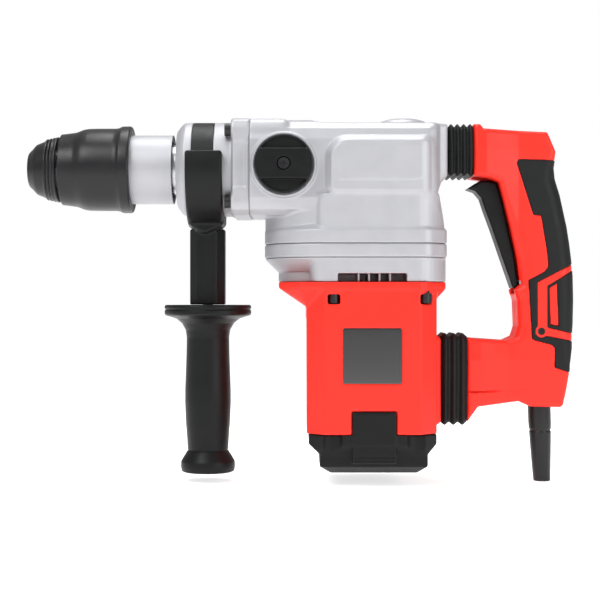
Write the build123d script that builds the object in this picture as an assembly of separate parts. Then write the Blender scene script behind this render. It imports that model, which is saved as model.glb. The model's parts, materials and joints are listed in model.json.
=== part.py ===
from build123d import *
import math
import os

# Rotary hammer with an SDS-max tool holder, in millimetres. +Z is up, the tool axis is X and the tool
# leaves towards -X. The origin is the mouth of the steel tool bore, on the tool axis.

# Driving dimensions: axes of the drive train. Every spur axis is vertical.
MODULE = 1.0
PINION_TEETH = 8
CRANK_TEETH = 45
MIDDLE_TEETH = 71
PRESSURE_ANGLE = math.radians(20)
PROFILE_SHIFT = 0.5
BACKLASH = 0.16
MOTOR_X = 267.6
CRANK_X = MOTOR_X + MODULE * (PINION_TEETH + CRANK_TEETH) / 2
MIDDLE_X = MOTOR_X - MODULE * (PINION_TEETH + MIDDLE_TEETH) / 2
BEVEL_MODULE = 1.5
BEVEL_PINION_TEETH = 9
BEVEL_GEAR_TEETH = 36

# Hammer mechanism.
BORE_R = 9.05
HOLDER_R = 17.0
HOLDER_END = 100.0
GUIDE_LENGTH = 36.0
RELIEF_END = 58.0
RELIEVED_R = 9.6
CYLINDER_R = 20.0
CYLINDER_BORE_R = 15.5
CYLINDER_FRONT = 84.0
CYLINDER_REAR = 262.0
RUNNING = 0.05
CRANK_THROW = 13.0
ROD_LENGTH = 60.0
WRIST_X = CRANK_X + CRANK_THROW - ROD_LENGTH
PISTON_FRONT = 229.0
STRIKER_FRONT = 140.0
STRIKER_REAR = 176.0

# Levels of the gear case, from the top down.
DISC_TOP = -10.0
DISC_BOTTOM = -22.0
SHAFT_BEARING_TOP = -34.0
SHAFT_BEARING_BOTTOM = -46.0
FLANGE_TOP = -50.0
CASE_TOP = -60.3
GEAR_TOP = -62.0
CASE_BOTTOM = -71.0
GEAR_BOTTOM = -74.0
GEAR_ROOM_BOTTOM = -75.5
BRACKET_BOTTOM = -90.0
MOTOR_SEAM = -207.5
CAP_BOTTOM = -238.8
CAP_LEDGE = -222.8
CAP_BEARING = -234.6

# Housings.
SEAM_X = 173.0
HOUSING_TOP = 34.2
FRONT_TOP = 37.2
UPPER_BELLOWS_BOTTOM = -6.4
HOUSING_REAR = 328.4
HOUSING_HALF = 43.0
BULGE_HALF = 47.5
PLATE_HALF = 48.0
PLATE_FRONT_X = 232.0
PLATE_REAR = 326.4
MOTOR_HALF = 49.0
MOTOR_FRONT = 217.2
MOTOR_REAR = 317.9
MOTOR_CHAMFER = 13.0
NOSE_R = 27.4
COLLAR_R = 37.4
GROOVE_R = 35.0
GROOVE_FRONT = 127.5
GROOVE_REAR = 144.5

# Controls and handles.
KNOB_X = 199.6
KNOB_R = 22.6
GREASE_R = 20.4
GREASE_TOP = 40.3
GRIP_HALF = 19.0
ARM_HALF = 24.0
SHELL_WALL = 3.2
DAMPER_PIN_R = 3.0
UPPER_DAMPER_Z = 12.0
LOWER_DAMPER_Z = -167.0
TRIGGER_PIVOT = (387.0, -90.0)
TRIGGER_HALF = 11.0
SIDE_X = 138.4
RELIEF_TOP = (403.2, -188.8)
RELIEF_BOTTOM = (405.4, -248.3)
CABLE_R = 4.25


# Shapes that the sub-parts share.

def box(x0, x1, y0, y1, z0, z1):
    """A block between two corners."""
    return Pos((x0 + x1) / 2, (y0 + y1) / 2, (z0 + z1) / 2) * Box(x1 - x0, y1 - y0, z1 - z0)


def rod(start, end, radius):
    """A round bar between two points."""
    line = Vector(*end) - Vector(*start)
    place = Plane(origin=start, z_dir=line)
    return place * Cylinder(radius, line.length, align=(Align.CENTER, Align.CENTER, Align.MIN))


def rod_x(x0, x1, radius, y=0, z=0):
    return rod((x0, y, z), (x1, y, z), radius)


def rod_y(y0, y1, radius, x=0, z=0):
    return rod((x, y0, z), (x, y1, z), radius)


def rod_z(z0, z1, radius, x=0, y=0):
    return rod((x, y, z0), (x, y, z1), radius)


def turned_x(outline):
    """An outline of (x, radius) points turned about the tool axis."""
    face = make_face(Polyline(*[(x, r, 0) for x, r in outline], close=True))
    return revolve(face, Axis.X)


def turned_z(outline, x, y=0):
    """An outline of (radius, z) points turned about a vertical axis."""
    face = make_face(Polyline(*[(x + r, y, z) for r, z in outline], close=True))
    return revolve(face, Axis((x, y, 0), (0, 0, 1)))


def turned_y(outline, x, z):
    """An outline of (radius, y) points turned about a sideways axis."""
    face = make_face(Polyline(*[(x + r, y, z) for r, y in outline], close=True))
    return revolve(face, Axis((x, 0, z), (0, 1, 0)))


def side_plate(outline, y0, y1):
    """An outline of (x, z) points given thickness from y0 to y1."""
    face = make_face(Polyline(*[(x, y0, z) for x, z in outline], close=True))
    return extrude(face, amount=y1 - y0, dir=(0, 1, 0))


def end_plate(outline, x0, x1):
    """An outline of (y, z) points given thickness from x0 to x1."""
    face = make_face(Polyline(*[(x0, y, z) for y, z in outline], close=True))
    return extrude(face, amount=x1 - x0, dir=(1, 0, 0))


def level_plate(outline, z0, z1):
    """An outline of (x, y) points given thickness from z0 to z1."""
    face = make_face(Polyline(*[(x, y, z0) for x, y in outline], close=True))
    return extrude(face, amount=z1 - z0, dir=(0, 0, 1))


def octagon(x0, x1, half, cut):
    """Plan of a block with its four upright corners cut off."""
    return [
        (x0 + cut, -half),
        (x1 - cut, -half),
        (x1, cut - half),
        (x1, half - cut),
        (x1 - cut, half),
        (x0 + cut, half),
        (x0, half - cut),
        (x0, cut - half),
    ]


def ring_x(x0, x1, outer, inner, y=0, z=0):
    return rod_x(x0, x1, outer, y, z) - rod_x(x0 - 1, x1 + 1, inner, y, z)


def ring_z(z0, z1, outer, inner, x):
    return rod_z(z0, z1, outer, x) - rod_z(z0 - 1, z1 + 1, inner, x)


def spring(start, end, coil_r, wire_r, turns):
    """A helical compression spring between two points."""
    line = Vector(*end) - Vector(*start)
    length = line.length - 2 * wire_r
    path = Helix(pitch=length / turns, height=length, radius=coil_r)
    section = Plane(origin=path @ 0, z_dir=path % 0) * Circle(wire_r)
    coil = sweep(section, path=path)
    return Plane(origin=start, z_dir=line) * Pos(0, 0, wire_r) * coil


# Gears.

FLANK_STEPS = 3
BEVEL_SHIFT = 0.4
BEVEL_BACKLASH = 0.3
BEVEL_INNER_Z = -20.6
BEVEL_PITCH_R = BEVEL_MODULE * BEVEL_PINION_TEETH / 2
BEVEL_GEAR_R = BEVEL_MODULE * BEVEL_GEAR_TEETH / 2


def involute(angle):
    return math.tan(angle) - angle


def gear_outline(teeth, module, shift, thinning, addendum, first_angle=0.0):
    """Points round a spur gear; a tooth is centred on first_angle."""
    pitch_r = module * teeth / 2
    base_r = pitch_r * math.cos(PRESSURE_ANGLE)
    root_r = pitch_r + module * (shift - 1.25)
    tip_r = pitch_r + module * (shift + addendum)
    half_tooth = (math.pi / 2 + 2 * shift * math.tan(PRESSURE_ANGLE)) / teeth - thinning / (2 * pitch_r)
    flank_start = max(base_r, root_r)
    flank = []
    for step in range(FLANK_STEPS + 1):
        radius = flank_start + (tip_r - flank_start) * step / FLANK_STEPS
        angle = half_tooth + involute(PRESSURE_ANGLE) - involute(math.acos(base_r / radius))
        flank.append((radius, angle))
    if base_r > root_r:
        flank.insert(0, (root_r, flank[0][1]))
    rising = [(radius, -angle) for radius, angle in flank]
    falling = [(radius, angle) for radius, angle in reversed(flank)]
    points = []
    for tooth in range(teeth):
        middle = first_angle + 2 * math.pi * tooth / teeth
        for radius, angle in rising + falling:
            points.append((radius * math.cos(middle + angle), radius * math.sin(middle + angle)))
    return points


def spur_gear(x, teeth, shift, addendum, first_angle, z0, z1):
    """A spur gear on the upright axis at x."""
    outline = gear_outline(teeth, MODULE, shift, BACKLASH, addendum, first_angle)
    return level_plate([(x + px, py) for px, py in outline], z0, z1)


def bevel_pinion_teeth():
    """Teeth that taper towards the point where the bevel axes meet, on the tool axis."""
    outline = gear_outline(BEVEL_PINION_TEETH, BEVEL_MODULE, BEVEL_SHIFT, BEVEL_BACKLASH, 0.7)
    faces = []
    for z in (-BEVEL_GEAR_R, BEVEL_INNER_Z):
        scale = -z / BEVEL_GEAR_R
        points = [(MIDDLE_X + px * scale, py * scale, z) for px, py in outline]
        faces.append(make_face(Polyline(*points, close=True)))
    return loft(faces, ruled=True)


def bevel_gear_tooth(angle):
    """One tooth of the large bevel gear, at an angle about the tool axis."""
    addendum = BEVEL_MODULE * (0.9 - BEVEL_SHIFT)
    dedendum = BEVEL_MODULE * (1.25 + BEVEL_SHIFT)
    half = BEVEL_MODULE * (math.pi / 4 - BEVEL_SHIFT * math.tan(PRESSURE_ANGLE)) - BEVEL_BACKLASH / 2
    slope = math.tan(PRESSURE_ANGLE)
    sunk = dedendum + 0.4
    corners = [
        (-sunk, -half - slope * dedendum),
        (addendum, -half + slope * addendum),
        (addendum, half - slope * addendum),
        (-sunk, half + slope * dedendum),
    ]
    faces = []
    for radius in (BEVEL_GEAR_R, -BEVEL_INNER_Z):
        scale = radius / BEVEL_GEAR_R
        points = []
        for rise, aside in corners:
            x = MIDDLE_X + (rise - BEVEL_PITCH_R) * scale
            y = radius * math.cos(angle) - aside * scale * math.sin(angle)
            z = radius * math.sin(angle) + aside * scale * math.cos(angle)
            points.append((x, y, z))
        faces.append(make_face(Polyline(*points, close=True)))
    return loft(faces, ruled=True)


def make_bevel_gear():
    """Ring on the hammer cylinder, with teeth facing the motor side."""
    root = BEVEL_PITCH_R + BEVEL_MODULE * (1.25 + BEVEL_SHIFT)
    inner = -BEVEL_INNER_Z / BEVEL_GEAR_R
    back_x = 212.0
    rim_r = 28.4
    blank = turned_x([
        (back_x, CYLINDER_R),
        (back_x, rim_r),
        (MIDDLE_X - root, rim_r),
        (MIDDLE_X - root, BEVEL_GEAR_R),
        (MIDDLE_X - root * inner, -BEVEL_INNER_Z),
        (MIDDLE_X - root * inner, CYLINDER_R),
    ])
    teeth = []
    for tooth in range(BEVEL_GEAR_TEETH):
        teeth.append(bevel_gear_tooth(-math.pi / 2 + 2 * math.pi * tooth / BEVEL_GEAR_TEETH))
    return blank + teeth


def make_intermediate_shaft():
    """Upright shaft with the small bevel pinion at its top."""
    upper = rod_z(SHAFT_BEARING_BOTTOM, -BEVEL_GEAR_R, 6.0, MIDDLE_X)
    middle = rod_z(GEAR_BOTTOM, SHAFT_BEARING_BOTTOM, 7.0, MIDDLE_X)
    journal = rod_z(-86.0, GEAR_BOTTOM, 5.0, MIDDLE_X)
    return upper + middle + journal + bevel_pinion_teeth()


def make_intermediate_gear():
    teeth = spur_gear(MIDDLE_X, MIDDLE_TEETH, -PROFILE_SHIFT, 0.95, math.pi / MIDDLE_TEETH,
                      GEAR_BOTTOM, GEAR_TOP)
    for turn in range(6):
        angle = math.radians(60 * turn)
        spot = (MIDDLE_X + 20 * math.cos(angle), 20 * math.sin(angle))
        teeth -= rod_z(GEAR_BOTTOM - 1, GEAR_TOP + 1, 6.5, *spot)
    return teeth - rod_z(GEAR_BOTTOM - 1, GEAR_TOP + 1, 7.0, MIDDLE_X)


def make_crank_gear():
    teeth = spur_gear(CRANK_X, CRANK_TEETH, -PROFILE_SHIFT, 0.95, 0.0, GEAR_BOTTOM, GEAR_TOP)
    return teeth - rod_z(GEAR_BOTTOM - 1, GEAR_TOP + 1, 7.0, CRANK_X)


def make_crank_shaft():
    """Crank disc with its pin and a counterweight cut, on an upright shaft."""
    disc = rod_z(DISC_BOTTOM, DISC_TOP, 20.0, CRANK_X)
    for side in (-1, 1):
        disc -= rod_z(DISC_BOTTOM - 1, DISC_TOP + 1, 5.0, CRANK_X + 6, side * 13.0)
    shaft = rod_z(SHAFT_BEARING_BOTTOM, DISC_BOTTOM, 6.0, CRANK_X)
    shaft += rod_z(GEAR_BOTTOM, SHAFT_BEARING_BOTTOM, 7.0, CRANK_X)
    shaft += rod_z(-86.0, GEAR_BOTTOM, 6.0, CRANK_X)
    pin = rod_z(DISC_TOP, -6.4, 6.0, CRANK_X + CRANK_THROW)
    return disc + shaft + pin


# Tool holder and chuck.

def make_tool_holder():
    """Steel holder: a round guide bore, a relieved length with two roller windows, then the drive lugs."""
    holder = turned_x([
        (0, BORE_R),
        (0, HOLDER_R - 1),
        (1, HOLDER_R),
        (62, HOLDER_R),
        (62, 22),
        (65, 22),
        (65, HOLDER_R),
        (HOLDER_END, HOLDER_R),
        (HOLDER_END, BORE_R),
        (RELIEF_END, BORE_R),
        (RELIEF_END, RELIEVED_R),
        (GUIDE_LENGTH, RELIEVED_R),
        (GUIDE_LENGTH, BORE_R),
    ])
    for side in (-1, 1):
        holder -= box(GUIDE_LENGTH, 56, min(side * 5, side * 20), max(side * 5, side * 20), -3.6, 3.6)
        lug = box(59, 78, -1.5, 1.5, min(side * 7.4, side * 10), max(side * 7.4, side * 10))
        holder += lug
    return holder


def make_locking_rollers():
    return [rod_x(36.2, 55.8, 3.5, side * 13.2) for side in (-1, 1)]


def make_nose_cap():
    """Rubber dust cap with three ring ribs and a soft lip."""
    cap = turned_x([
        (-4, 9.6),
        (-4, 13.2),
        (-2.6, 14.8),
        (2.4, 20),
        (8.8, 22.4),
        (9.6, 24.2),
        (11.6, 24.4),
        (12.2, 23.2),
        (12.8, 25.0),
        (14.8, 25.2),
        (15.4, 24.0),
        (16.0, 25.8),
        (18.4, 26.2),
        (20, 26.2),
        (20, HOLDER_R),
        (1, HOLDER_R),
        (0, HOLDER_R - 1),
        (0, 9.6),
    ])
    return cap


def make_locking_sleeve():
    """Sliding sleeve that is pulled back to release the tool; it covers the nose tube."""
    return turned_x([
        (22, HOLDER_R + RUNNING),
        (22, 27.6),
        (22.8, 28.4),
        (26.4, 28.6),
        (34.4, 29.8),
        (40, 31.9),
        (43, 32.5),
        (50, 32.8),
        (66, 32.8),
        (68.4, 33.2),
        (70.4, 34.6),
        (77.4, 34.6),
        (78.4, 33.6),
        (78.4, 28.4),
        (60, 28.4),
        (60, 24),
        (33, 24),
        (33, HOLDER_R + RUNNING),
    ])


def make_sleeve_spring():
    return spring((33.3, 0, 0), (61.7, 0, 0), 20.0, 1.2, 5)


def make_cylinder():
    """Hammer tube that turns with the tool holder; air holes open it to the crank room."""
    tube = turned_x([
        (CYLINDER_FRONT, HOLDER_R),
        (CYLINDER_FRONT, CYLINDER_R),
        (CYLINDER_REAR, CYLINDER_R),
        (CYLINDER_REAR, CYLINDER_BORE_R),
        (HOLDER_END, CYLINDER_BORE_R),
        (HOLDER_END, HOLDER_R),
    ])
    for angle in range(0, 360, 60):
        turn = math.radians(angle + 30)
        tip = (205, 25 * math.cos(turn), 25 * math.sin(turn))
        tube -= rod((205, 0, 0), tip, 1.6)
    return tube


# Hammer mechanism.

def make_impact_bolt():
    return turned_x([
        (88, 0),
        (88, 7.5),
        (90, 9.0),
        (112, 9.0),
        (114, 15.4),
        (122, 15.4),
        (125, 8.5),
        (134, 8.5),
        (136, 7.0),
        (136, 0),
    ])


def make_striker():
    body = turned_x([
        (STRIKER_FRONT, 0),
        (STRIKER_FRONT, 8.0),
        (STRIKER_FRONT + 6, 9.0),
        (STRIKER_FRONT + 14, 15.4),
        (STRIKER_REAR, 15.4),
        (STRIKER_REAR, 0),
    ])
    return body - ring_x(165, 168, 17, 13.6)


def make_striker_seal():
    return ring_x(165, 168, 15.4, 13.6)


def make_piston():
    """Cup with a groove for its seal and a fork for the connecting rod."""
    body = rod_x(PISTON_FRONT, 256, CYLINDER_BORE_R - RUNNING)
    body -= box(238.6, 260, -20, 20, -6.3, 6.3)
    body -= rod_z(-20, 20, 4.0, WRIST_X)
    return body - ring_x(231.5, 234.5, 17, 13.2)


def make_piston_seal():
    return ring_x(231.5, 234.5, CYLINDER_BORE_R - RUNNING, 13.2)


def make_wrist_pin():
    return rod_z(-14, 14, 4.0, WRIST_X)


def make_connecting_rod():
    """Rod with a small eye at the wrist pin and a large eye over the crank pin."""
    big_x = WRIST_X + ROD_LENGTH
    shank = box(WRIST_X, big_x, -4.5, 4.5, -4, 4)
    eyes = rod_z(-6, 6, 8.0, WRIST_X) + rod_z(-6, 6, 9.0, big_x)
    holes = rod_z(-10, 10, 4.0 + RUNNING, WRIST_X) + rod_z(-10, 10, 6.1, big_x)
    return shank + eyes - holes


# Motor.

def make_armature_shaft():
    """Motor shaft with the drive pinion cut on its upper end."""
    teeth = spur_gear(MOTOR_X, PINION_TEETH, PROFILE_SHIFT, 0.8, 0.0, GEAR_ROOM_BOTTOM, GEAR_TOP + 0.8)
    shaft = rod_z(-224, GEAR_ROOM_BOTTOM, 5.0, MOTOR_X) + rod_z(CAP_BEARING - 1, -224, 4.0, MOTOR_X)
    return teeth + shaft


def make_armature_core():
    """Laminated core with winding slots."""
    core = ring_z(-178, -122, 24.0, 5.0, MOTOR_X)
    for slot in range(12):
        angle = 30 * slot
        groove = Pos(MOTOR_X, 0, -150) * Rot(0, 0, angle) * Pos(20.5, 0, 0) * Box(8, 2.6, 60)
        core -= groove
    return core


def make_armature_windings():
    """Varnished copper end turns above and below the core."""
    return [ring_z(-188, -178, 21.0, 5.0, MOTOR_X), ring_z(-122, -117, 21.0, 5.0, MOTOR_X)]


def make_commutator():
    ring = ring_z(-208, -190, 14.0, 5.0, MOTOR_X)
    for bar in range(12):
        gap = Pos(MOTOR_X, 0, -199) * Rot(0, 0, 30 * bar) * Pos(14, 0, 0) * Box(3, 0.8, 20)
        ring -= gap
    return ring


def make_cooling_fan():
    fan = ring_z(-114, -112, 38.0, 5.0, MOTOR_X) + ring_z(-114, -98, 11.0, 5.0, MOTOR_X)
    for blade in range(11):
        turn = Pos(MOTOR_X, 0, 0) * Rot(0, 0, 360 * blade / 11)
        fan += turn * Pos(24, 0, -105.5) * Rot(0, 0, 25) * Box(27, 1.8, 14)
    return fan


def make_stator_core():
    """Laminated ring with two poles, one on each side."""
    middle = -150
    ring = ring_z(-174, -126, 43.5, 36.0, MOTOR_X)
    pole = ring_z(-174, -126, 36.5, 24.8, MOTOR_X) & Pos(MOTOR_X, 0, middle) * Box(38, 90, 60)
    return ring + pole


def make_field_windings():
    coils = ring_z(-182, -118, 35.8, 25.6, MOTOR_X)
    return coils - Pos(MOTOR_X, 0, -150) * Box(39, 90, 80)


def make_brush_holders():
    holders = []
    for side in (-1, 1):
        block = Pos(MOTOR_X, side * 30.5, -199) * Box(12, 29, 12)
        channel = Pos(MOTOR_X, side * 27.5, -199) * Box(6, 27, 8)
        holders.append(block - channel)
    return holders


def make_carbon_brushes():
    return [Pos(MOTOR_X, side * 22.6, -199) * Box(6, 17, 8) for side in (-1, 1)]


def bearing_z(z0, z1, inner, outer, x):
    """A sealed ball bearing: two rings with shallow shield grooves between them."""
    ring = ring_z(z0, z1, outer, inner, x)
    third = (outer - inner) / 3
    for low, high in ((z0 - 1, z0 + 0.6), (z1 - 0.6, z1 + 1)):
        ring -= rod_z(low, high, outer - third, x) - rod_z(low, high, inner + third, x)
    return ring


def make_shaft_bearings():
    """Ball bearings of the armature, the crank and the intermediate shaft."""
    bearings = [
        bearing_z(BRACKET_BOTTOM, -79, 5.0 + RUNNING, 13.0, MOTOR_X),
        bearing_z(CAP_BEARING, CAP_BEARING + 9, 4.0 + RUNNING, 11.0, MOTOR_X),
    ]
    for x, lower_journal, upper_r, lower_r in ((CRANK_X, 6.0, 14.0, 11.5), (MIDDLE_X, 5.0, 13.0, 11.0)):
        bearings.append(bearing_z(SHAFT_BEARING_BOTTOM, SHAFT_BEARING_TOP, 6.0 + RUNNING, upper_r, x))
        bearings.append(bearing_z(-86, -77, lower_journal + RUNNING, lower_r, x))
    return bearings


def make_spindle_bearing():
    race = ring_x(174, 184, 31.0, CYLINDER_R + RUNNING)
    for low, high in ((173, 174.8), (183.2, 185)):
        race -= ring_x(low, high, 28.5, 23.5)
    return race


def make_spindle_bush():
    return ring_x(CYLINDER_FRONT, 108, 24.0, CYLINDER_R + RUNNING)


# Housings.

COVER_SCREWS = [(y, z) for y in (-33, 33) for z in (-28, 28)]
FLANGE_SCREWS = [(x, y) for x in (238, 309) for y in (-43, 43)]
CAP_SCREWS = [(x, y) for x in (238, 298) for y in (-38, 38)]
CRANK_ROOM_R = 24.5
MIDDLE_ROOM_R = 36.6


def section(half, shoulder, top, top_half, low, low_half):
    """Cross-section of a housing across the tool axis, as (y, z) points."""
    right = [(low_half, low), (half, low + 16), (half, shoulder), (top_half, top)]
    left = [(-y, z) for y, z in reversed(right)]
    return right + left


def make_front_barrel():
    """Cast nose: chuck tube, flare, grooved collar for the side handle, and a bolted flange."""
    barrel = turned_x([
        (70, 24.0),
        (70, NOSE_R),
        (111.2, NOSE_R),
        (114, 29),
        (119, 35.2),
        (121.2, COLLAR_R),
        (GROOVE_FRONT, COLLAR_R),
        (GROOVE_FRONT, GROOVE_R),
        (GROOVE_REAR, GROOVE_R),
        (GROOVE_REAR, COLLAR_R),
        (SEAM_X, COLLAR_R),
        (SEAM_X, 31),
        (126, 31),
        (120, 24),
    ])
    flange = end_plate(section(42, 22, 36.2, 24, -38.4, 24), 159.7, SEAM_X)
    barrel += flange - rod_x(158, 175, 34)
    for y, z in COVER_SCREWS:
        barrel -= rod_x(158, 175, 3.0, y, z)
    return barrel


def plate_plan(z0, z1, front_x=PLATE_FRONT_X - PLATE_HALF):
    """Plan of the stacked gear plates: round in front and chamfered behind."""
    radius = PLATE_FRONT_X - front_x
    nose = rod_z(z0, z1, radius, PLATE_FRONT_X)
    rear = box(PLATE_FRONT_X, PLATE_REAR, -radius, radius, z0, z1)
    for side in (-1, 1):
        corner = [(PLATE_REAR - 16, side * radius), (PLATE_REAR, side * (radius - 16)), (PLATE_REAR, side * radius)]
        rear -= level_plate(corner, z0, z1)
    return nose + rear


def crank_housing_rooms():
    """Rooms of the main casting: spindle tube, crank room, bearing seats and pockets under the crank."""
    rooms = rod_x(SEAM_X - 1, 184, 31)
    rooms += rod_x(SEAM_X - 1, 243, 30)
    rooms += rod_x(242, CRANK_X, 22)
    half = [(38, -9), (38, 15), (24, 29)]
    rooms += end_plate(half + [(-y, z) for y, z in reversed(half)], 264, 317)
    rooms += rod_z(-9, 26, 27.5, CRANK_X)
    rooms += rod_z(20, 45, 16, CRANK_X)
    rooms += rod_z(-30, -8, 22.5, CRANK_X)
    rooms += rod_z(CASE_TOP - 1, SHAFT_BEARING_TOP, 14, CRANK_X)
    rooms += rod_z(CASE_TOP - 1, SHAFT_BEARING_TOP, 13, MIDDLE_X)
    rooms += box(MIDDLE_X + 18, CRANK_X - 18, -14, 14, CASE_TOP - 1, SHAFT_BEARING_TOP)
    for side in (-1, 1):
        edges = sorted((side * 18.5, side * 34.5))
        rooms += box(206, 314, edges[0], edges[1], CASE_TOP - 1, -33)
    for x in (CRANK_X, MIDDLE_X):
        rooms += rod_z(-40, -24, 7.6, x)
    return rooms


def make_crank_housing():
    """Main casting over the hammer tube and crank, with the top flange of the gear case."""
    profile = [
        (SEAM_X, -38.4),
        (184, -38.4),
        (184, CASE_TOP),
        (PLATE_REAR, CASE_TOP),
        (PLATE_REAR, -53),
        (319.5, -21),
        (HOUSING_REAR, -6),
        (HOUSING_REAR, HOUSING_TOP),
        (228, HOUSING_TOP),
        (221, FRONT_TOP),
        (SEAM_X, FRONT_TOP),
    ]
    upper = end_plate(section(HOUSING_HALF, 19, FRONT_TOP, 25, -38, 38), SEAM_X, HOUSING_REAR)
    skirt = box(176, HOUSING_REAR, -39.5, 39.5, FLANGE_TOP, -20)
    flange = plate_plan(CASE_TOP, FLANGE_TOP)
    body = (upper + skirt + flange) & side_plate(profile, -60, 60)
    for y, z in COVER_SCREWS:
        body += rod_x(SEAM_X, 203, 8.0, y, z)
    bulge = [(234, -20), (234, 9), (240, 14.5), (311, 11), (314, 6), (314, -20)]
    body += side_plate(bulge, -BULGE_HALF, BULGE_HALF)
    body += rod_y(-47, -40, 24.6, KNOB_X)
    body -= crank_housing_rooms()
    body -= rod_y(-60, -20, 6.0 + RUNNING, KNOB_X)
    for y, z in COVER_SCREWS:
        body -= rod_x(SEAM_X - 1, 198, 3.0, y, z)
    body -= rod_x(322.5, 330, DAMPER_PIN_R, 0, UPPER_DAMPER_Z)
    return body


def gear_room(z0, z1):
    """Space round the spur gears."""
    room = rod_z(z0, z1, CRANK_ROOM_R, CRANK_X)
    room += rod_z(z0, z1, MIDDLE_ROOM_R, MIDDLE_X)
    return room + rod_z(z0, z1, 7.0, MOTOR_X)


def flange_screw_holes(z0, z1):
    return [rod_z(z0, z1, 2.5, x, y) for x, y in FLANGE_SCREWS]


def make_gear_case():
    plate = plate_plan(CASE_BOTTOM, CASE_TOP)
    return plate - gear_room(CASE_BOTTOM - 1, CASE_TOP + 1) - flange_screw_holes(CASE_BOTTOM - 1, -64)


def make_bearing_bracket():
    """Lower casting with the bearing seats and the motor's air slots."""
    profile = [(184, CASE_BOTTOM), (195, -80), (195, BRACKET_BOTTOM), (PLATE_REAR, BRACKET_BOTTOM),
               (PLATE_REAR, CASE_BOTTOM)]
    body = plate_plan(BRACKET_BOTTOM, CASE_BOTTOM) & side_plate(profile, -60, 60)
    body -= gear_room(GEAR_ROOM_BOTTOM, CASE_BOTTOM + 1)
    body -= rod_z(-86, -70, 11.5, CRANK_X)
    body -= rod_z(-86, -70, 11.0, MIDDLE_X)
    body -= rod_z(BRACKET_BOTTOM - 1, -79, 13.0, MOTOR_X)
    body -= rod_z(-80, -70, 6.2, MOTOR_X)
    for slot in range(11):
        x = 241 + 5.3 * slot
        for side in (-1, 1):
            body -= box(x, x + 3, min(side * 40, side * 50), max(side * 40, side * 50), BRACKET_BOTTOM - 1, -84.5)
    return body - flange_screw_holes(BRACKET_BOTTOM - 1, CASE_BOTTOM + 1)


def make_motor_housing():
    """Red moulded tube with a wide flange on top, screw pockets, and a neck for the lower bellows."""
    profile = [
        (195, BRACKET_BOTTOM),
        (195, -94.4),
        (MOTOR_FRONT, -109.6),
        (MOTOR_FRONT, MOTOR_SEAM),
        (MOTOR_REAR, MOTOR_SEAM),
        (MOTOR_REAR, -110.7),
        (325.6, -99.5),
        (325.6, BRACKET_BOTTOM),
    ]
    body = side_plate(profile, -MOTOR_HALF, MOTOR_HALF)
    head = level_plate(octagon(195, 325.6, MOTOR_HALF, 20), -112, BRACKET_BOTTOM)
    column = level_plate(octagon(MOTOR_FRONT, MOTOR_REAR, MOTOR_HALF, MOTOR_CHAMFER), MOTOR_SEAM, -108)
    body = body & (head + column)
    body -= level_plate(octagon(MOTOR_FRONT + 4, MOTOR_REAR - 4, 45, 11), MOTOR_SEAM - 1, BRACKET_BOTTOM + 1)
    for x, y in FLANGE_SCREWS:
        side = math.copysign(1, y)
        edges = sorted((side * 35.5, side * 46))
        body += box(x - 7.5, min(x + 7.5, 315), edges[0], edges[1], -116, BRACKET_BOTTOM)
        edges = sorted((side * 38, side * 50))
        body -= box(x - 5.2, x + 5.2, edges[0], edges[1], -108, -99)
    body -= flange_screw_holes(-100, BRACKET_BOTTOM + 1)
    body += box(MOTOR_REAR - 4, 322.8, -22, 22, -202, -132)
    body -= rod_x(MOTOR_REAR - 5, 323, DAMPER_PIN_R, 0, LOWER_DAMPER_Z)
    body -= box(245, 290, -50, -48, -168.2, -125.6)
    for side in (-1, 1):
        edges = sorted((side * 47, side * 50))
        body -= box(252, 286, edges[0], edges[1], MOTOR_SEAM - 1, -189.7)
    return body


def make_badge_plate():
    return box(245, 290, -49.6, -48, -168.2, -125.6)


def make_end_cap():
    """Black motor cap with a tongue up each side and a seat for the lower bearing."""
    profile = [
        (218.8, MOTOR_SEAM),
        (218.8, -215.3),
        (227.2, CAP_LEDGE),
        (227.2, -232.4),
        (248, CAP_BOTTOM),
        (291, CAP_BOTTOM),
        (310.6, -232.4),
        (310.6, CAP_LEDGE),
        (317.9, -215.3),
        (317.9, MOTOR_SEAM),
    ]
    plan = level_plate(octagon(218.8, MOTOR_REAR, 48.4, MOTOR_CHAMFER), CAP_BOTTOM, MOTOR_SEAM)
    cheeks = [
        (48.4, MOTOR_SEAM),
        (48.4, -229.5),
        (42, -233.5),
        (30, CAP_BOTTOM),
    ]
    across = end_plate(cheeks + [(-y, z) for y, z in reversed(cheeks)], 210, 330)
    body = plan & side_plate(profile, -60, 60) & across
    room = level_plate(octagon(232, 305, 38, 10), -229.5, MOTOR_SEAM + 1)
    room += level_plate(octagon(223, 313.5, 44, 11), -215, MOTOR_SEAM + 1)
    seat = rod_z(CAP_BEARING - 2, -221, 15, MOTOR_X)
    body = body - room + seat
    body -= rod_z(CAP_BEARING, -220, 11, MOTOR_X)
    body -= rod_z(CAP_BEARING - 2.4, CAP_BEARING + 1, 5, MOTOR_X)
    for side in (-1, 1):
        edges = sorted((side * 47, side * MOTOR_HALF))
        body += box(252, 286, edges[0], edges[1], -212, -189.7)
    for x, y in CAP_SCREWS:
        body += rod_z(-232, MOTOR_SEAM, 5.0, x, y) & plan & across
        body -= rod_z(-245, MOTOR_SEAM + 1, 2.0, x, y)
        body -= rod_z(-245, -222, 4.2, x, y)
    return body


# Covers, seals and screws on the casings.

def socket_screw(axis_point, along, head_r, head_length, shank_r, shank_length, key_r):
    """A socket cap screw: its head starts at axis_point and its shank runs on along the direction."""
    start = Vector(*axis_point)
    way = Vector(*along)
    head = rod(start, start + way * head_length, head_r)
    shank = rod(start + way * head_length, start + way * (head_length + shank_length), shank_r)
    place = Plane(origin=start, z_dir=way)
    key = place * extrude(RegularPolygon(key_r, 6), amount=head_length * 0.6)
    return head + shank - key


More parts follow.
